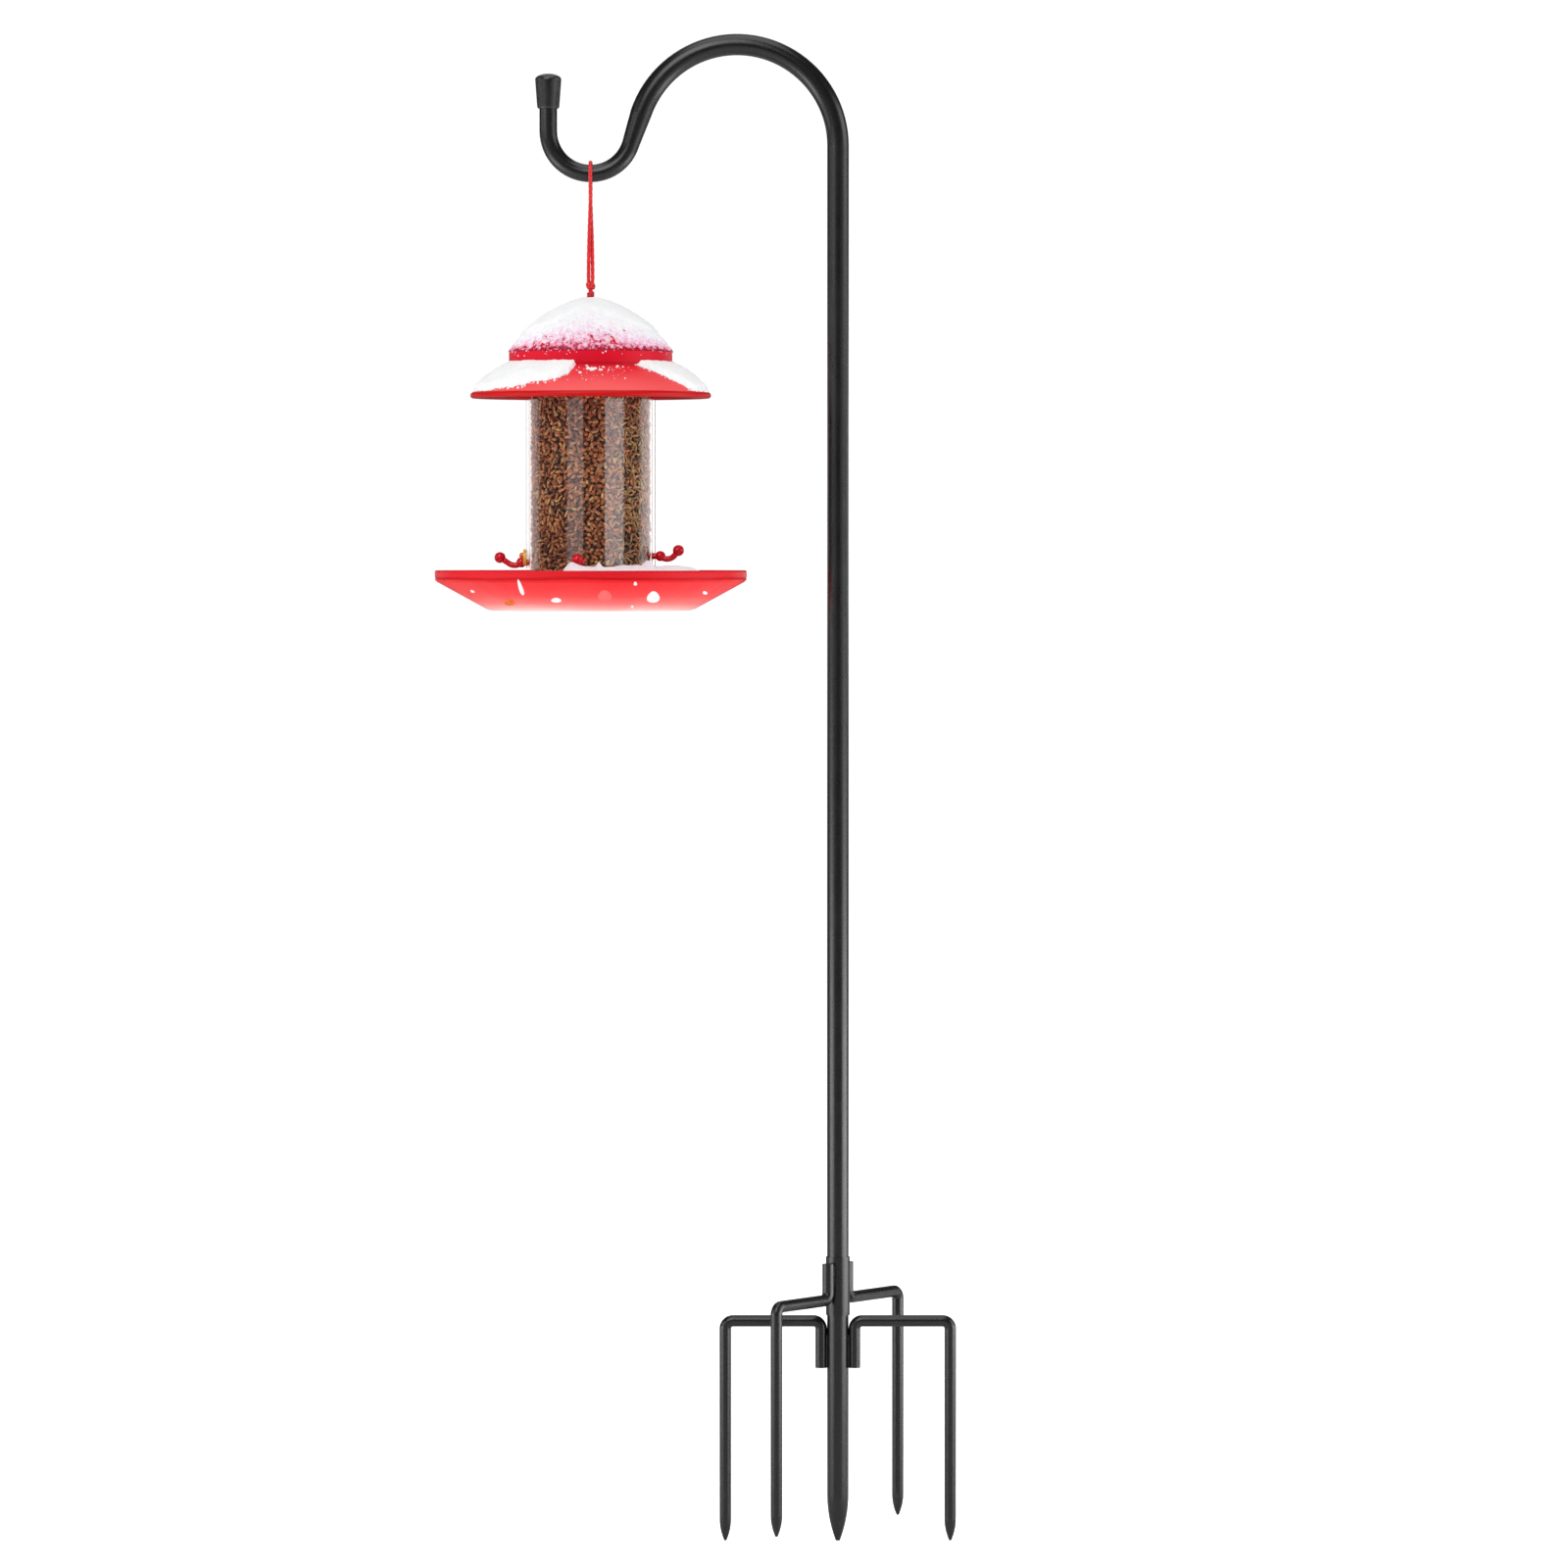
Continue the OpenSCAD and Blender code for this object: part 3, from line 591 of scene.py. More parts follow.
NODE_MATERIALS = {
    STEEL: ("stake_tube", "ground_spike", "prong_left", "prong_right", "collar_sleeve", "prong_front",
            "prong_rear", "pole_lower", "pole_middle", "crook"),
    CAP: ("hook_end_cap",),
    PLUG: ("pole_connector", "pole_couplers"),
    ZINC: ("hanger_stirrup", "center_rod", "top_nut", "tray_washer", "wing_nut", "roof_screws"),
    RED: ("tube_spider", "seed_deflector"),
    DOME_RED: ("roof_dome",),
    BRIM_RED: ("roof_brim",),
    TRAY_RED: ("tray",),
    PERCH_RED: ("perch_front", "perch_left", "perch_rear", "perch_right"),
    GROMMET_RED: ("roof_grommet",),
    CORD: ("cord_tail", "cord_knot", "cord_loop", "cord_strands"),
    CLEAR: ("seed_tube",),
    SEED_SHADE: ("seed_fill",),
    YELLOW: ("port_guard",),
    ORANGE: ("port_bead",),
}

for paint, names in NODE_MATERIALS.items():
    for name in names:
        mesh = NODES[name].data
        mesh.materials.clear()
        mesh.materials.append(paint)


# ---- cord

CORD_D = 4 * MM
CORD_R = CORD_D / 2
LOOP_R = 11.3 * MM  # from the hook bar's centre to the cord's
BAR_Z = LOOP_TOP - CORD_R - LOOP_R
KNOT_TOP = KNOT_HIGH[2]
MEET_Z = KNOT_TOP + 80 * MM  # the two strands lie side by side below this
MEET_Y = 2.1 * MM
CORD_STEP = 0.6 * MM
CORD_SIDES = 24
PLAITS = 4
PLAIT_DEPTH = 0.11


def cord_route():
    """From the knot up one strand, over the bar and down the other, in the solids' own places."""
    drop = BAR_Z - MEET_Z
    reach = math.hypot(MEET_Y, drop)
    leave = math.atan2(MEET_Y, drop) + math.acos(LOOP_R / reach)
    leave_y, leave_z = LOOP_R * math.sin(leave), BAR_Z - LOOP_R * math.cos(leave)
    half = []
    rise = MEET_Z - KNOT_TOP
    turns = int(rise / CORD_STEP)
    for k in range(turns):
        z = KNOT_TOP + rise * k / turns
        a = math.radians(90 * (MEET_Z - z) / rise)
        half.append((MEET_Y * math.sin(a), MEET_Y * math.cos(a), z))
    straight = math.hypot(leave_y - MEET_Y, leave_z - MEET_Z)
    count = int(straight / CORD_STEP)
    for k in range(count):
        t = k / count
        half.append((0, MEET_Y + (leave_y - MEET_Y) * t, MEET_Z + (leave_z - MEET_Z) * t))
    arc = math.pi - leave
    count = int(arc * LOOP_R / CORD_STEP)
    for k in range(count):
        a = leave + arc * k / count
        half.append((0, LOOP_R * math.sin(a), BAR_Z - LOOP_R * math.cos(a)))
    top = [(0, 0, BAR_Z + LOOP_R)]
    other = [(-x, -y, z) for x, y, z in reversed(half)]
    return [(AXIS_X + x, y, z) for x, y, z in half + top + other]


def braid(step, sides, radius, pitch=7 * MM):
    """Radii of a round braid, for tube_mesh: two sets of plaits cross each other."""
    def value(k, j):
        a = TAU * j / sides
        s = TAU * k * step / pitch
        crossed = max(math.cos(PLAITS * a + s), math.cos(PLAITS * a - s), -0.2)
        return radius * (1 - PLAIT_DEPTH * (1 - crossed))
    return value


def make_cord():
    """The cord's one piece, its route and its length."""
    route = cord_route()
    verts, faces = tube_mesh(route, braid(CORD_STEP, CORD_SIDES, CORD_R), CORD_SIDES)
    piece = make_piece("hanging_cord", verts, faces, CORD, slot="red_cord")
    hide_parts("cord_loop", "cord_strands")
    length = sum(math.dist(a, b) for a, b in zip(route, route[1:]))
    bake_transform(piece)
    return piece, route, length


hanging_cord, cord_path, cord_length = make_cord()


def knot_lobes(steps, sides):
    """The knot itself, a closed trefoil. Returns its mesh."""
    lobe, thick, rise, below = 1.1 * MM, 1.95 * MM, 2.1, 5.2 * MM
    loop = []
    for k in range(steps):
        t = TAU * k / steps
        loop.append((AXIS_X + lobe * (math.sin(t) + 2 * math.sin(2 * t)),
                     lobe * (math.cos(t) - 2 * math.cos(2 * t)),
                     KNOT_TOP - below - rise * lobe * math.sin(3 * t)))
    length = sum(math.dist(a, b) for a, b in zip(loop, loop[1:] + loop[:1]))
    return tube_mesh(loop, braid(length / steps, sides, thick, length / 6), sides, True)


def knot_wrap(steps, sides):
    """Turns of the cord's end round the tail, under the knot."""
    radius, turns, thick = 2.3 * MM, 2.2, 1.75 * MM
    low, high = KNOT_LOW[2] + 2.4 * MM, KNOT_LOW[2] + 7.4 * MM
    wrap = [turned(TAU * turns * k / steps, radius, low + (high - low) * k / steps) for k in range(steps + 1)]
    return tube_mesh(wrap, braid(TAU * radius * turns / steps, sides, thick), sides)


def make_knot():
    """An overhand knot that the two strands run into, with two turns of the cord's end under it."""
    sides, step, tail_r = 16, 0.5 * MM, 2.3 * MM
    parts = [knot_lobes(120, sides), knot_wrap(110, sides)]
    tail = [(AXIS_X, 0, KNOT_LOW[2] + k * step) for k in range(30)]
    parts.append(tube_mesh(tail, braid(step, sides, tail_r), sides))
    for side in (-1, 1):
        stub = [(AXIS_X + side * (MEET_Y - 0.08 * MM * k), 0, KNOT_TOP + 0.4 * MM - k * step)
                for k in range(10)]
        parts.append(tube_mesh(stub, braid(step, sides, CORD_R), sides))
    verts, faces = join_parts(parts)
    piece = make_piece("cord_knot_wound", verts, faces, CORD, "cord_drop", "red_cord")
    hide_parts("cord_knot")


make_knot()


# ---- weld beads

WELD_SIZE = 1.35 * MM
WELD_APART = 2.6 * MM  # from the line of contact to each bead
PRONG_TURN = 33  # the collar's prongs from the front-to-back line
STAKE_WELD = (-40 * MM, -9 * MM)  # the beads' ends, in height
COLLAR_WELD = (42 * MM, 63 * MM)


def weld_bead(x, y, low, high, rng):
    """One fillet run: overlapping scales up a line."""
    parts = []
    count = int((high - low) / (0.9 * WELD_SIZE))
    for k in range(count):
        z = low + (high - low) * k / (count - 1)
        off_x, off_y = (rng.uniform(-0.12, 0.12) * WELD_SIZE for _ in range(2))
        size = WELD_SIZE * rng.uniform(0.92, 1.08)
        parts.append(blob_mesh((x + off_x, y + off_y, z), size, rng, (0, 0, 1), 0.75, 0.05, 6, 10))
    return parts


def leg_welds(name, angle, tube_r, ends, body):
    """Welds down both sides of the line where a prong's short leg touches the tube."""
    rng = random.Random(name)
    a = math.radians(angle)
    reach = tube_r + 0.1 * MM
    parts = []
    for side in (-1, 1):
        x = reach * math.cos(a) - side * WELD_APART * math.sin(a)
        y = reach * math.sin(a) + side * WELD_APART * math.cos(a)
        parts += weld_bead(x, y, *ends, rng)
    verts, faces = join_parts(parts)
    make_piece(name, verts, faces, STEEL, body, "black_steel")


leg_welds("weld_left", 180, STAKE_R, STAKE_WELD, "stake")
leg_welds("weld_right", 0, STAKE_R, STAKE_WELD, "stake")
leg_welds("weld_front", -90 - PRONG_TURN, COLLAR_R, COLLAR_WELD, "collar")
leg_welds("weld_rear", 90 - PRONG_TURN, COLLAR_R, COLLAR_WELD, "collar")


# ---- seed

SEED_SIDES = 6
SEED_RINGS = 4


def husk_shapes(centres, along, up, lengths, widths, bends):
    """Vertices of many curved husks at once, as an array of shape (seeds, vertices, 3)."""
    side = np.cross(along, up)
    side /= np.linalg.norm(side, axis=1, keepdims=True)
    up = np.cross(side, along)
    shape = []
    for k in range(SEED_RINGS + 2):
        s = -1 + 2 * k / (SEED_RINGS + 1)
        middle = centres + along * (0.5 * lengths * s)[:, None] + up * (bends * (0.5 - s * s))[:, None]
        if k in (0, SEED_RINGS + 1):
            shape.append(middle)
            continue
        belly = (1 - s * s) ** 0.55 * (1 - 0.22 * s)
        for j in range(SEED_SIDES):
            a = TAU * j / SEED_SIDES
            across = math.cos(a) * side + 0.72 * math.sin(a) * up
            shape.append(middle + across * (0.5 * widths * belly)[:, None])
    return np.stack(shape, axis=1)


def husk_faces():
    """One husk's faces, closed by a point at each end."""
    last = 1 + SEED_RINGS * SEED_SIDES
    faces = []
    for j in range(SEED_SIDES):
        n = (j + 1) % SEED_SIDES
        faces.append((0, 1 + n, 1 + j))
        for k in range(SEED_RINGS - 1):
            a = 1 + k * SEED_SIDES
            faces.append((a + j, a + n, a + SEED_SIDES + n, a + SEED_SIDES + j))
        a = 1 + (SEED_RINGS - 1) * SEED_SIDES
        faces.append((a + j, a + n, last))
    return faces


def seed_object(name, shape, tones, body, slot):
    """All the husks as one piece, with each one's tone on its vertices."""
    count, each, _ = shape.shape
    pattern = husk_faces()
    faces = [tuple(i + n * each for i in face) for n in range(count) for face in pattern]
    piece = make_piece(name, shape.reshape(-1, 3).tolist(), faces, SEED, body, slot)
    layer = piece.data.attributes.new("tone", "FLOAT", "POINT")
    layer.data.foreach_set("value", np.repeat(tones, each).astype(np.float32))
    return piece


def unit(vectors):
    """Rows scaled to length 1."""
    return vectors / np.linalg.norm(vectors, axis=1, keepdims=True)


FILL_R = SEED_HIGH[1]
CORE_R = FILL_R - 6.5 * MM
FILL_LOW, FILL_TOP = SEED_LOW[2], SEED_HIGH[2]
ROD_R = 4 * MM
# The mix settles in columns, in degrees from the front: round grains there, thin pale husks beside them
GRAIN_TURNS = (-7, 17)
HUSK_TURNS = (30, 78)


def seeds_at_wall(rng, radius, spacing):
    """Places and shapes of the seeds in one layer behind the clear wall."""
    rows = int((FILL_TOP - FILL_LOW - 4 * MM) / spacing)
    cols = int(TAU * radius / spacing)
    row, col = np.meshgrid(np.arange(rows), np.arange(cols), indexing="ij")
    n = rows * cols
    angle = TAU * (col.ravel() + 0.5 * (row.ravel() % 2) + rng.uniform(-0.35, 0.35, n)) / cols
    z = FILL_LOW + 3 * MM + spacing * (row.ravel() + rng.uniform(-0.35, 0.35, n))
    out = np.stack([np.cos(angle), np.sin(angle), np.zeros(n)], axis=1)
    round_way = np.stack([-np.sin(angle), np.cos(angle), np.zeros(n)], axis=1)
    lean = rng.uniform(0, math.pi, n)
    along = round_way * np.cos(lean)[:, None] + np.array([0, 0, 1]) * np.sin(lean)[:, None]
    along = unit(along + out * rng.uniform(-0.35, 0.15, n)[:, None])
    lengths = rng.uniform(6.0, 9.5, n) * MM
    widths = rng.uniform(2.3, 3.7, n) * MM
    tones = np.clip(rng.normal(0.46, 0.22, n), 0, 0.72)
    turn = np.degrees(np.angle(np.exp(1j * (angle + math.pi / 2))))
    grains = (turn > GRAIN_TURNS[0]) & (turn < GRAIN_TURNS[1]) & (rng.random(n) < 0.7)
    lengths[grains] = rng.uniform(4.0, 5.5, grains.sum()) * MM
    widths[grains] = rng.uniform(3.2, 4.2, grains.sum()) * MM
    tones[grains] = np.clip(rng.normal(0.52, 0.10, grains.sum()), 0.2, 0.68)
    husks = (turn > HUSK_TURNS[0]) & (turn < HUSK_TURNS[1]) & (rng.random(n) < 0.75)
    lengths[husks] = rng.uniform(7.0, 10.5, husks.sum()) * MM
    widths[husks] = rng.uniform(1.5, 2.4, husks.sum()) * MM
    tones[husks] = rng.uniform(0.62, 1.0, husks.sum())
    sprinkled = rng.random(n) < 0.10
    tones[sprinkled] = rng.uniform(0.74, 1.0, sprinkled.sum())
    bends = rng.uniform(-0.10, 0.22, n) * lengths
    depth = radius - rng.uniform(0, 1.4, n) * MM
    centres = out * depth[:, None] + np.stack([np.full(n, AXIS_X), np.zeros(n), z], axis=1)
    clear = z < FILL_TOP - 1 * MM
    data = [centres, along, out, lengths, widths, bends, tones]
    return [d[clear] for d in data]


def seeds_on_top(rng, count):
    """Seeds that lie on the heap's upper face."""
    r = (CORE_R + 3 * MM) * np.sqrt(rng.random(count))
    angle = rng.uniform(0, TAU, count)
    lean = rng.uniform(0, TAU, count)
    z = FILL_TOP - 1.5 * MM + rng.uniform(-1.2, 0.8, count) * MM
    centres = np.stack([AXIS_X + r * np.cos(angle), r * np.sin(angle), z], axis=1)
    clear = r > ROD_R + 3 * MM
    along = unit(np.stack([np.cos(lean), np.sin(lean), rng.uniform(-0.3, 0.3, count)], axis=1))
    up = np.tile(np.array([0.0, 0.0, 1.0]), (count, 1))
    lengths = rng.uniform(5.5, 9.5, count) * MM
    data = [centres, along, up, lengths, rng.uniform(2.2, 3.8, count) * MM,
            rng.uniform(-0.1, 0.2, count) * lengths, np.clip(rng.normal(0.48, 0.22, count), 0, 1)]
    return [d[clear] for d in data]


def make_seed():
    """Two layers of seeds behind the wall, more on top, and a core painted dark, painted shade between the
    seeds, that fills the rest.
    """
    rng = np.random.default_rng(7)
    layers = [seeds_at_wall(rng, FILL_R - 4.6 * MM, 4.6 * MM),
              seeds_at_wall(rng, FILL_R - 2.6 * MM, 5.4 * MM), seeds_on_top(rng, 620)]
    *form, tones = [np.concatenate(column) for column in zip(*layers)]
    shape = husk_shapes(*form)
    # Nothing pokes through the wall
    flat = shape.reshape(-1, 3)
    r = np.hypot(flat[:, 0] - AXIS_X, flat[:, 1])
    pull = np.minimum(1, (FILL_R - 0.1 * MM) / np.maximum(r, 1e-9))
    flat[:, 0] = AXIS_X + (flat[:, 0] - AXIS_X) * pull
    flat[:, 1] *= pull
    seeds = seed_object("seed_mix", shape, tones, "feeder", "seed")
    low, top = FILL_LOW + 0.5 * MM, FILL_TOP - 3 * MM
    cone_z = low + 32 * MM  # the core leaves room for the deflector's cone
    profile = [(CORE_R - 2 * MM, low), (CORE_R, low), (CORE_R, top), (ROD_R, top), (ROD_R, cone_z),
               (9 * MM, cone_z)]
    verts, faces = lathe_mesh(profile, 96)
    # The core's dark colour is painted shade between the seeds.
    make_piece("seed_core", verts, faces, SEED_SHADE, "feeder", "seed", False)
    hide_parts("seed_fill")


make_seed()


# ---- snow

# The dome and the brim's skirt as arcs: (r, z) at both ends, and how far the middle bulges out
DOME_FOOT = (BAND_R, DOME_LOW[2] + 12.3 * MM)
DOME_APEX = (0.0, DOME_FOOT[1] + 54.7 * MM)
DOME_BULGE = 9.5 * MM
DOME_START = 0.075  # the share of the dome's arc that the grommet takes
SKIRT_IN = (80 * MM, DOME_LOW[2] - 1.5 * MM)
SKIRT_OUT = (121.5 * MM, DOME_LOW[2] - 30 * MM)
SKIRT_BULGE = 3 * MM
SINK = 0.7 * MM  # how far a layer's underside lies in the surface
CAP_BACK_Z = DOME_LOW[2] + 22 * MM  # the cap's lower edge at the back
CAP_LIFT = 26 * MM  # how much higher it is at the front


def front_angle(a):
    """Degrees from the front, positive to the right, for an azimuth a in radians."""
    return math.degrees(math.remainder(a + math.pi / 2, TAU))


def arc_point(a, b, bulge, t, h):
    """(r, z) at a share t of the way along the arc from a to b, raised by h."""
    chord = math.dist(a, b)
    along = ((b[0] - a[0]) / chord, (b[1] - a[1]) / chord)
    out = (-along[1], along[0])
    big = (chord * chord / 4 + bulge * bulge) / (2 * bulge)
    swing = math.asin(chord / 2 / big) * (2 * t - 1)
    across, up = (big + h) * math.sin(swing), (big + h) * math.cos(swing) - big + bulge
    return tuple((a[k] + b[k]) / 2 + along[k] * across + out[k] * up for k in (0, 1))


def on_dome(a, t, h):
    """t runs from the grommet at the top, down the dome, to its foot."""
    return turned(a, *arc_point(DOME_APEX, DOME_FOOT, DOME_BULGE, DOME_START + (1 - DOME_START) * t, h))


def cap_edge(a):
    """Height of the snow cap's ragged lower edge, highest at the front."""
    x, y = math.cos(a), math.sin(a)
    front = 0.5 + 0.5 * math.cos(math.radians(front_angle(a)))
    return CAP_BACK_Z + CAP_LIFT * front ** 5 + 2.5 * MM * (ripple(x, y, 0, 0.45) + ripple(x, y, 0, 0.11, 3))


def cap_thickness(a, t):
    """The cap thins to crumbs at its edge."""
    x, y, z = on_dome(a, t, 0)
    inside = (z - cap_edge(a)) / MM
    lumps = 0.35 * ripple(x, y, z, 0.022) + 0.3 * ripple(x, y, z, 0.005, 5)
    grit = ripple(x, y, z, 0.0040, 9) + 0.5 * ripple(x, y, z, 0.002, 2)
    return (min(3.0, 0.32 * inside) + lumps + max(0.0, 1 - abs(inside) / 7) * grit) * MM


def frost_cover(a, z):
    """0 at the dome's foot, 1 at the cap's edge and above."""
    foot = DOME_FOOT[1] + 0.5 * MM
    return min(1.0, max(0.0, (z - foot) / max(cap_edge(a) + 1 * MM - foot, 4 * MM))) ** 0.8


def frost_thickness(a, t):
    """Clumps between the cap's edge and the dome's foot, sparser lower down."""
    x, y, z = on_dome(a, t, 0)
    if z < DOME_FOOT[1] + 0.8 * MM or z > cap_edge(a) + 5 * MM:
        return -1 * MM
    clumps = ripple(x, y, z, 0.0050, 9) + 0.5 * ripple(x, y, z, 0.0022, 2) + 0.4 * ripple(x, y, z, 0.018, 4)
    fill = 0.10 + 0.9 * frost_cover(a, z)
    return min(1.5, 1.5 * (clumps + fill)) * MM


def on_skirt(a, t, h):
    """t runs down the brim's skirt, from under the band to its rim."""
    return turned(a, *arc_point(SKIRT_IN, SKIRT_OUT, SKIRT_BULGE, t, h))


# How far down the skirt the snow lies, by the turn from the front, where the skirt is bare
REACH_TURNS = (-180, -61, -39, -29, -17, -12, -8, 31, 42, 50, 58, 66, 180)
REACHES = (0.97, 0.93, 0.83, 0.72, 0.60, 0.42, -0.1, -0.1, 0.30, 0.60, 0.88, 0.96, 0.97)


def skirt_reach(a):
    """The share of the way down the skirt where the snow ends."""
    x, y = math.cos(a), math.sin(a)
    reach = float(np.interp(front_angle(a), REACH_TURNS, REACHES)) + 0.03 * ripple(x, y, 0, 0.16, 6)
    return reach + 0.04 * ripple(x, y, 0, 0.05, 8) + 0.03 * ripple(x, y, 0, 0.015, 3)


def skirt_thickness(a, t):
    """Lumpy snow as far as skirt_reach, thinner towards the rim."""
    x, y, z = on_skirt(a, t, 0)
    inside = (min(skirt_reach(a), 0.975) - t) * 50
    lumps = 0.7 * ripple(x, y, z, 0.016, 1) + 0.45 * ripple(x, y, z, 0.005, 7)
    swell = 5.2 - 2.0 * t
    return min(swell, 0.62 * inside) * MM + lumps * MM * min(1, max(0.0, inside / 4 + 0.4))


TRAY_FLOOR = TRAY_LOW[2] + 3 * MM
TRAY_IN_R = TRAY_R - 4 * MM
TRAY_FLAT_R = 104 * MM
TRAY_RISE = 30 * MM  # from the floor to the top of the sloping wall
SNOW_IN_R = 70.8 * MM
SNOW_GAP = 0.4 * MM  # between the snow and the tray's own face
# The bank's middle, half width and soft edge, in degrees from the front
BANK_TURN, BANK_HALF, BANK_FADE = 28, 43, 2.2
RIDGE_R, RIDGE_WIDTH = 108 * MM, 28 * MM
CREST_R, CREST_WIDTH = 106 * MM, 11 * MM  # where the peaks stand on the ridge
BANK_ABOVE = 4.2 * MM  # the ridge over the tray's rim
REST_BELOW = 16 * MM  # the rest of the snow under it


def tray_floor(r):
    """Height of the tray's inner face at a distance r from its axis."""
    t = max(0.0, (r - TRAY_FLAT_R) / (TRAY_IN_R - TRAY_FLAT_R))
    return TRAY_FLOOR + t * TRAY_RISE


# Peaks of the bank: turn from the front, height in mm and half width in degrees
PEAKS = ((-10.5, 7.0, 5.0), (5.8, 5.0, 1.3), (34.0, 6.0, 1.6), (20.0, 1.2, 6.0), (50.0, 0.8, 7.0))


def hump(value, middle, width):
    """1 at the middle, falling away on both sides."""
    return math.exp(-((value - middle) / width) ** 2)


def bank_height(a, r):
    """How high the snow lies in the tray: a bank at the front right, lower everywhere else."""
    turn = front_angle(a)
    x, y = r * math.cos(a), r * math.sin(a)
    rim = TRAY_HIGH[2]
    front = 1 / (1 + math.exp((abs(turn - BANK_TURN) - BANK_HALF) / BANK_FADE))
    ridge = hump(r, RIDGE_R, RIDGE_WIDTH)
    crest = hump(r, CREST_R, CREST_WIDTH)
    peaks = sum(height * MM * hump(turn, at, width) for at, height, width in PEAKS)
    lumps = 1.2 * ripple(x, y, 0, 0.03, 2) + 0.8 * ripple(x, y, 0, 0.009, 4) + 0.5 * ripple(x, y, 0, 0.003, 5)
    low = rim - REST_BELOW - 5 * MM * (1 - ridge)
    high = rim + BANK_ABOVE * ridge + peaks * crest - 10 * MM * (1 - ridge)
    return low + (high - low) * front + lumps * MM


@functools.lru_cache(None)
def snow_out_r(a):
    """Where the snow in the tray runs out against the sloping wall."""
    r = TRAY_IN_R - 0.6 * MM
    while r > SNOW_IN_R + 20 * MM and bank_height(a, r) < tray_floor(r) + 0.9 * MM:
        r -= 0.4 * MM
    return r


def in_tray(a, t, h):
    """The snow's surface where h is above 0, and its underside on the tray's face otherwise."""
    r = SNOW_IN_R + (snow_out_r(a) - SNOW_IN_R) * t
    floor = tray_floor(r) + SNOW_GAP
    top = max(bank_height(a, r), floor + 0.5 * MM)
    return turned(a, r, top if h > 0 else floor)


def crumbs(rng, count, place, small, large):
    """Loose grains of snow: place(rng) gives a point and the surface's normal there."""
    parts = []
    for _ in range(count):
        where, normal = place(rng)
        size = small + (large - small) * rng.random() ** 2.2
        parts.append(blob_mesh(where, size * MM, rng, normal, rng.uniform(0.55, 0.9), 0.22, 4, 6))
    return parts


def grain_on(surface, a, t):
    """Where a grain lies on a surface, and the surface's normal there."""
    up = Vector(surface(a, t, 1 * MM)) - Vector(surface(a, t, 0))
    return surface(a, t, 0.4 * MM), up.normalized()


# Heights down the dome, turned negative so that they rise from point to point
DOME_SHARES = [k / 50 for k in range(51)]
DOME_HEIGHTS = [-on_dome(0, t, 0)[2] for t in DOME_SHARES]


def dome_grain(rng):
    """Grains lie from the cap's edge down to the dome's foot."""
    a = rng.uniform(0, TAU)
    edge = cap_edge(a)
    drop = (edge + 1 * MM - DOME_FOOT[1]) * rng.random() ** 0.8
    t = float(np.interp(-(edge + 1 * MM - drop), DOME_HEIGHTS, DOME_SHARES))
    return grain_on(on_dome, a, t)


def foot_grain(rng):
    """A few grains cling to the band's edge and face."""
    a = rng.uniform(0, TAU)
    z = DOME_FOOT[1] - 5 * MM * rng.random() ** 2.5
    return turned(a, BAND_R + 0.2 * MM, z), (math.cos(a), math.sin(a), 0)


def skirt_grain(rng):
    """Grains lie thickly along the snow's edge and thinly beyond it."""
    a = rng.uniform(0, TAU)
    while skirt_reach(a) < 0.12:
        a = rng.uniform(0, TAU)
    return grain_on(on_skirt, a, min(skirt_reach(a) + abs(rng.gauss(0, 0.05)), 0.94))


def front_grain(rng):
    """A few stray grains on the bare front of the skirt."""
    a = -math.pi / 2 + math.radians(rng.gauss(6, 9))
    return grain_on(on_skirt, a, 0.18 + 0.5 * rng.random() ** 2)


# Larger flecks on the front of the skirt: turn, share of the way down, size in mm
FLECKS = ((0.0, 0.26, 2.6), (2.2, 0.30, 3.0), (4.0, 0.25, 2.2), (7.4, 0.31, 2.0), (9.6, 0.19, 1.5),
          (-1.2, 0.12, 1.3), (-4.8, 0.42, 1.7), (19.5, 0.15, 1.5), (23.0, 0.17, 1.0), (20.0, 0.62, 0.9))

TRAY_SIDE_LOW = (106 * MM, TRAY_LOW[2] + 1.3 * MM)
TRAY_SIDE_HIGH = (156.5 * MM, TRAY_LOW[2] + 29 * MM)
TRAY_SIDE = math.dist(TRAY_SIDE_LOW, TRAY_SIDE_HIGH)


def on_tray_side(turn, height, lift):
    """A point on the tray's sloping outside: turn in degrees from the front, height from 0 to 1."""
    a = math.radians(turn) - math.pi / 2
    run, rise = (TRAY_SIDE_HIGH[k] - TRAY_SIDE_LOW[k] for k in (0, 1))
    r, z = TRAY_SIDE_LOW[0] + run * height, TRAY_SIDE_LOW[1] + rise * height
    normal = Vector((rise * math.cos(a), rise * math.sin(a), -run)) / TRAY_SIDE
    return Vector(turned(a, r, z)) + lift * normal, normal


# Splashes on the tray's outside, as seen from in front of it or from behind it (side -1), in mm: place
# across and above the tray's base, width, height, and how far the lower end leans to the right
SPLASHES = ((-67.5, 24, 4.6, 16.5, 4, 1), (-32, 11.3, 10.5, 5.2, 0, 1), (65.4, 14.4, 13, 12.3, -1, 1),
            (48, 28, 3.6, 3.8, 0, 1), (117, 18.5, 5, 3.6, 1, 1), (44, 4.6, 2.6, 3, 0, 1),
            (-118, 20, 4, 3, 2, 1), (-60, 15, 11, 8, 0, -1), (85, 21, 5, 10, 2, -1), (12, 9, 6, 4, 0, -1))
ORANGE_SPLASH = (-80, 8.9, 11, 7, 0, 1)
FAINT_SPLASH = (17, 16, 14, 11.5, 0, 1)


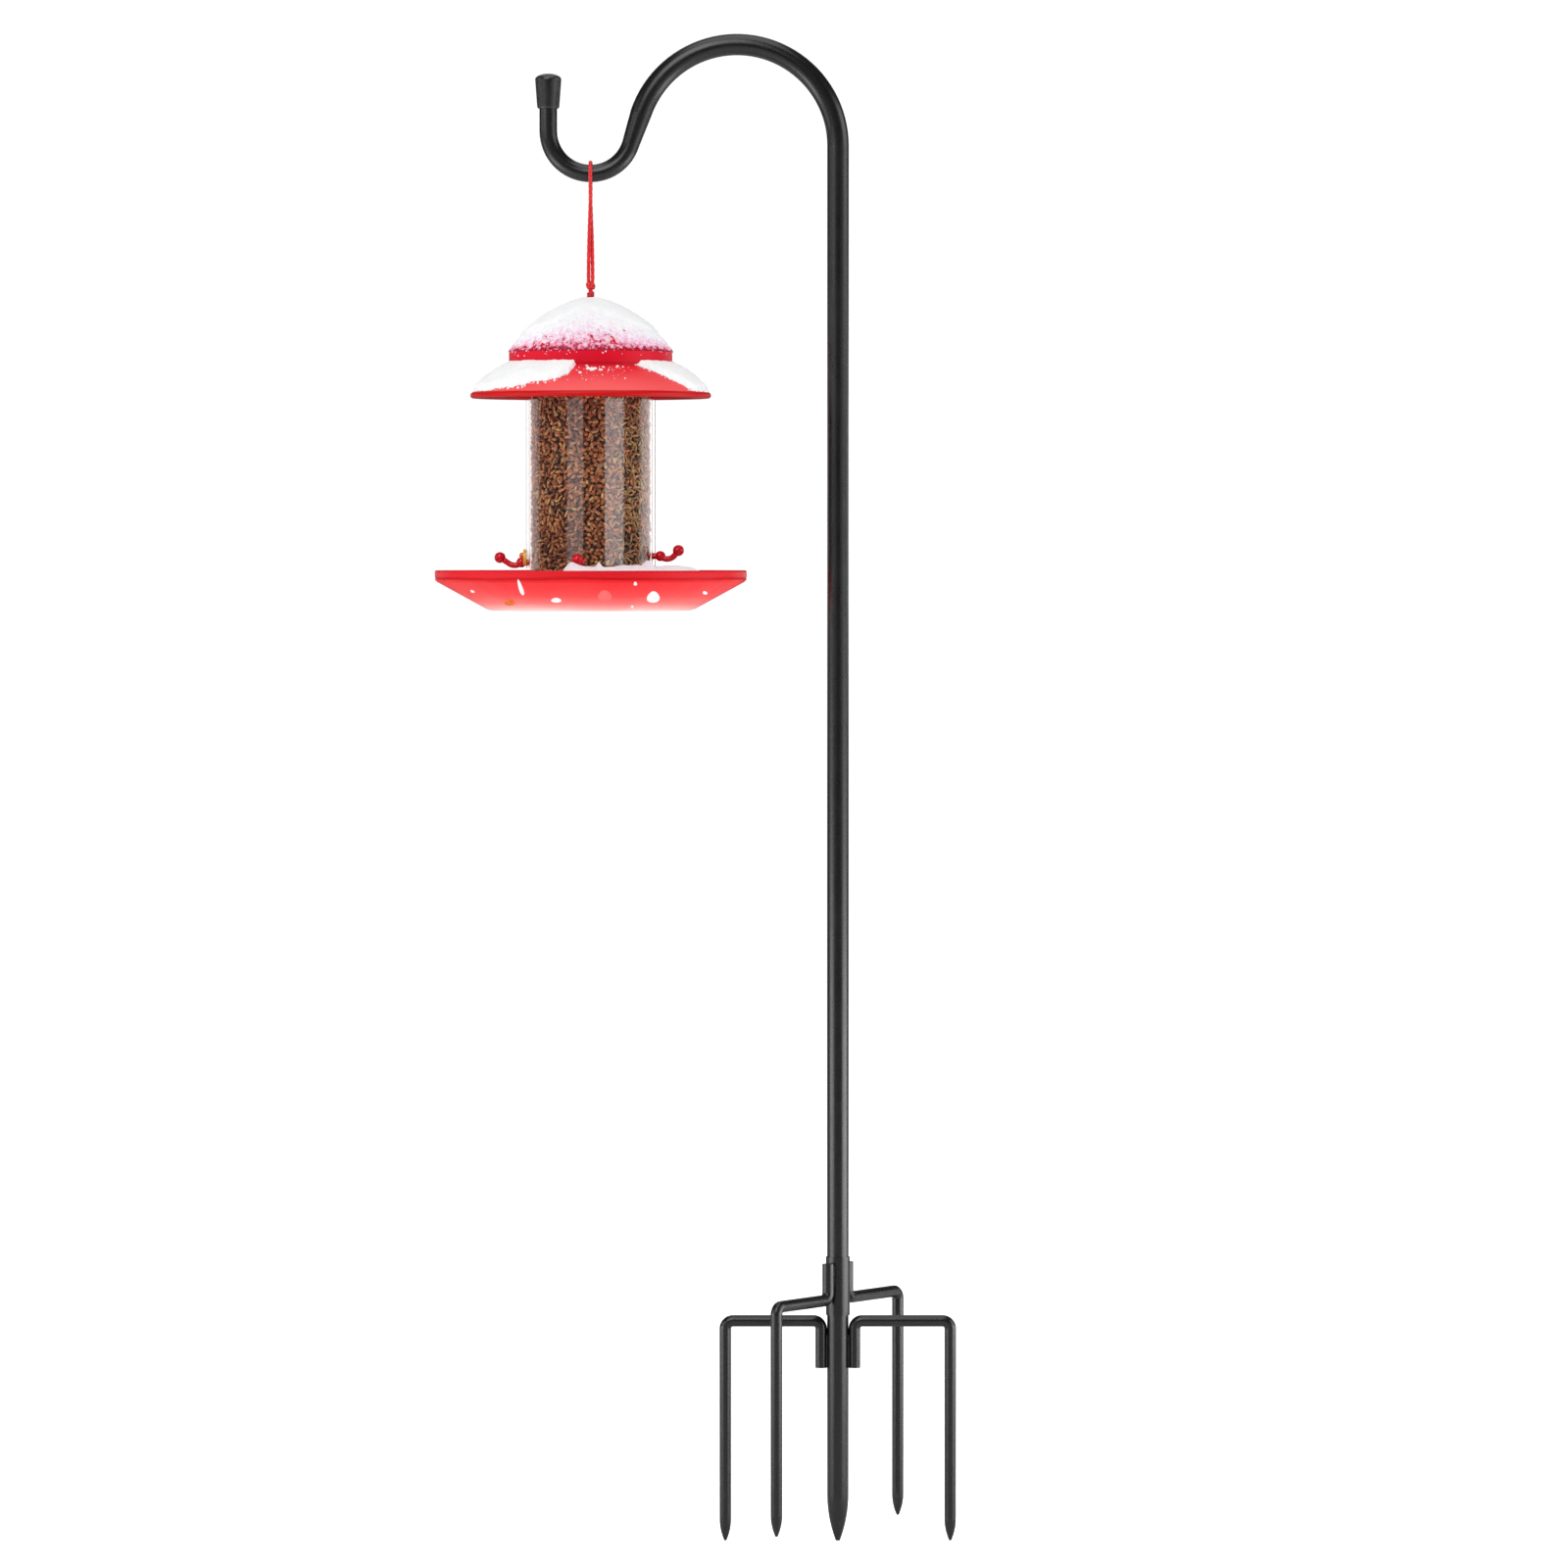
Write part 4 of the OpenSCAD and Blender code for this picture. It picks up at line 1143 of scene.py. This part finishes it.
def splash_mesh(x, z, width, height, lean, side, rng):
    """A thin drop-shaped splash that follows the tray's slope."""
    rings, around = 5, 40
    edge = [1 + rng.uniform(-0.02, 0.02) for _ in range(around)]
    verts = []
    for k in range(rings + 1):
        share = 1 - k / (rings + 1)
        lift = 0.9 * MM * math.sqrt(max(0.0, 1 - share * share)) - 0.15 * MM
        for j in range(around):
            b = TAU * j / around
            down = 0.5 * height * share * edge[j] * math.sin(b)
            taper = 1 + 0.28 * math.sin(b)
            across = x + 0.5 * width * share * edge[j] * taper * math.cos(b) + lean * down / height
            at = ((z - down) * MM + TRAY_LOW[2] - TRAY_SIDE_LOW[1]) / (TRAY_SIDE_HIGH[1] - TRAY_SIDE_LOW[1])
            r = TRAY_SIDE_LOW[0] + (TRAY_SIDE_HIGH[0] - TRAY_SIDE_LOW[0]) * at
            turn = math.degrees(math.asin(across * MM / r)) + (0 if side > 0 else 180)
            verts.append(on_tray_side(turn, at, lift)[0])
    faces = ring_faces(rings, around)
    faces.append(tuple(rings * around + j for j in range(around - 1, -1, -1)))
    faces.append(tuple(range(around)))
    return verts, faces


def add_snow(name, verts_faces, paint, body, cover=None):
    """A piece of snow. cover(a, z) gives each vertex its "cover" from its azimuth and height."""
    piece = make_piece(name, *verts_faces, paint, body)
    if cover:
        layer = piece.data.attributes.new("cover", "FLOAT", "POINT")
        for i, vertex in enumerate(piece.data.vertices):
            x, y, z = vertex.co
            layer.data[i].value = cover(math.atan2(y, x - AXIS_X), z)


def make_snow():
    """Layers on the roof and in the tray, loose grains, flecks and splashes."""
    rng = random.Random(31)
    for name, surface, thickness, steps_a, steps_t, paint, cover in (
            ("snow_dome", on_dome, cap_thickness, 720, 120, SNOW, None),
            ("snow_frost", on_dome, frost_thickness, 720, 150, SNOW_THIN, frost_cover),
            ("snow_brim", on_skirt, skirt_thickness, 640, 60, SNOW, None)):
        add_snow(name, coat_mesh(surface, thickness, steps_a, steps_t, SINK), paint, "roof", cover)
    add_snow("snow_tray", coat_mesh(in_tray, lambda a, t: 1.0, 720, 84, 1.0), SNOW_TRAY, "feeder")
    for name, count, place, small, large, paint, cover in (
            ("grains_dome", 1500, dome_grain, 0.45, 1.6, SNOW_THIN, frost_cover),
            ("grains_foot", 70, foot_grain, 0.4, 1.0, SNOW_THIN, lambda a, z: 0.6),
            ("grains_brim", 620, skirt_grain, 0.4, 1.5, SNOW, None),
            ("grains_front", 46, front_grain, 0.35, 0.9, SNOW, None)):
        add_snow(name, join_parts(crumbs(rng, count, place, small, large)), paint, "roof", cover)
    flecks = []
    for turn, t, size in FLECKS:
        where, normal = grain_on(on_skirt, math.radians(turn) - math.pi / 2, t)
        flecks.append(blob_mesh(where, size * MM, rng, normal, 0.6, 0.25, 6, 12))
    add_snow("flecks_front", join_parts(flecks), SNOW, "roof")
    add_snow("snow_splashes", join_parts([splash_mesh(*s, rng) for s in SPLASHES]), SNOW, "feeder")
    add_snow("orange_splash", splash_mesh(*ORANGE_SPLASH, rng), RUST, "feeder")
    add_snow("faint_splash", splash_mesh(*FAINT_SPLASH, rng), MELT, "feeder")


make_snow()


# ---- floor, lights and world

FLOOR_HALF = 14.0
FLOOR_GAP = 0.4 * MM  # between the ground points' tips and the floor
WORLD_LIGHT, WORLD_SEEN = 0.06, 1.05  # what lights the object, and what the camera sees


def make_floor():
    """A pale floor that runs back out of sight."""
    p = Painter("pale_floor")
    p.set(Roughness=0.7, Specular_IOR_Level=0.2)
    p.colour(p.ramp(p.noise(3, 3), [(0.3, (0.90, 0.90, 0.90)), (0.7, (0.93, 0.93, 0.93))]))
    glow = p.node("ShaderNodeEmission", {"Color": (1, 1, 1, 1)})
    p.link(p.node("ShaderNodeLightPath").outputs["Is Camera Ray"], glow.inputs["Strength"])
    both = p.node("ShaderNodeAddShader")
    p.link(p.shader.outputs[0], both.inputs[0])
    p.link(glow.outputs[0], both.inputs[1])
    p.link(both.outputs[0], p.tree.nodes["Material Output"].inputs["Surface"])
    corners = [(x * FLOOR_HALF, y * FLOOR_HALF, GROUND_Z - FLOOR_GAP)
               for x, y in ((-1, -1), (1, -1), (1, 1), (-1, 1))]
    floor = make_piece("floor", corners, [(0, 1, 2, 3)], p.material, smooth=False)


def make_world():
    """A white backdrop that hardly lights the object."""
    world = bpy.data.worlds.new("studio")
    world.use_nodes = True
    SCENE.world = world
    tree = world.node_tree
    background = tree.nodes["Background"]
    background.inputs["Color"].default_value = (1, 1, 1, 1)
    path = tree.nodes.new("ShaderNodeLightPath")
    dim = tree.nodes.new("ShaderNodeMapRange")
    dim.inputs["To Min"].default_value = WORLD_LIGHT
    dim.inputs["To Max"].default_value = WORLD_SEEN
    tree.links.new(path.outputs["Is Camera Ray"], dim.inputs["Value"])
    tree.links.new(dim.outputs["Result"], background.inputs["Strength"])


def make_light(name, azimuth, distance, z, width, height, radiance, aim_z):
    """A soft box facing the feeder's axis. Azimuth is from the front, positive to the right."""
    data = bpy.data.lights.new(name, "AREA")
    data.shape = "RECTANGLE"
    data.size = width
    data.size_y = height
    data.energy = radiance * math.pi * width * height
    light = bpy.data.objects.new(name, data)
    a = math.radians(azimuth)
    light.location = (AXIS_X + distance * math.sin(a), -distance * math.cos(a), z)
    aim(light, Vector((AXIS_X, 0, aim_z)))
    light.visible_camera = False
    SCENE.collection.objects.link(light)


TUBE_Z = 0.865  # level with the seed tube, which mirrors the strips
STRIP = 0.36  # a strip's own height
FEEDER_Z = 0.85
# name, azimuth, distance, place in height, width, height of the panel, radiance, height it faces.
# The side panels stand above and below the strips' level.
LIGHTS = [
    ("key", -15, 3.4, 3.5, 2.6, 2.6, 4.3, FEEDER_Z),
    ("top", 10, 0.4, 4.2, 3.0, 3.0, 1.9, FEEDER_Z),
    ("low_left", -64, 1.6, 0.07, 1.6, 0.50, 4.0, 0.60),
    ("low_right", 80, 1.6, 0.07, 1.6, 0.50, 4.4, 0.60),
    ("back", 180, 3.2, 3.2, 2.6, 2.6, 1.0, FEEDER_Z),
    ("strip_left", -27, 4.0, TUBE_Z, 2.1, STRIP, 0.85, TUBE_Z),
    ("strip_right", 45, 4.0, TUBE_Z, 2.6, STRIP, 1.95, TUBE_Z),
    ("edge_left", -138, 4.0, TUBE_Z, 4.6, STRIP, 0.9, TUBE_Z),
    ("edge_right", 131, 4.0, TUBE_Z, 4.8, STRIP, 1.5, TUBE_Z),
    ("hook_left", -46, 4.0, 1.60, 2.2, 0.6, 3.4, 1.45),
    ("side_right_low", 80, 4.0, 0.22, 3.6, 0.72, 2.7, 0.22),
    ("side_right_high", 84, 4.0, 2.1, 3.4, 1.85, 2.7, 2.1),
    ("side_left_low", -78, 4.0, 0.22, 3.2, 0.72, 2.0, 0.22),
    ("side_left_high", -84, 4.0, 2.1, 3.0, 1.85, 1.4, 2.1),
]

make_floor()
make_world()
for light in LIGHTS:
    make_light(*light)
SCENE.view_settings.view_transform = "Standard"
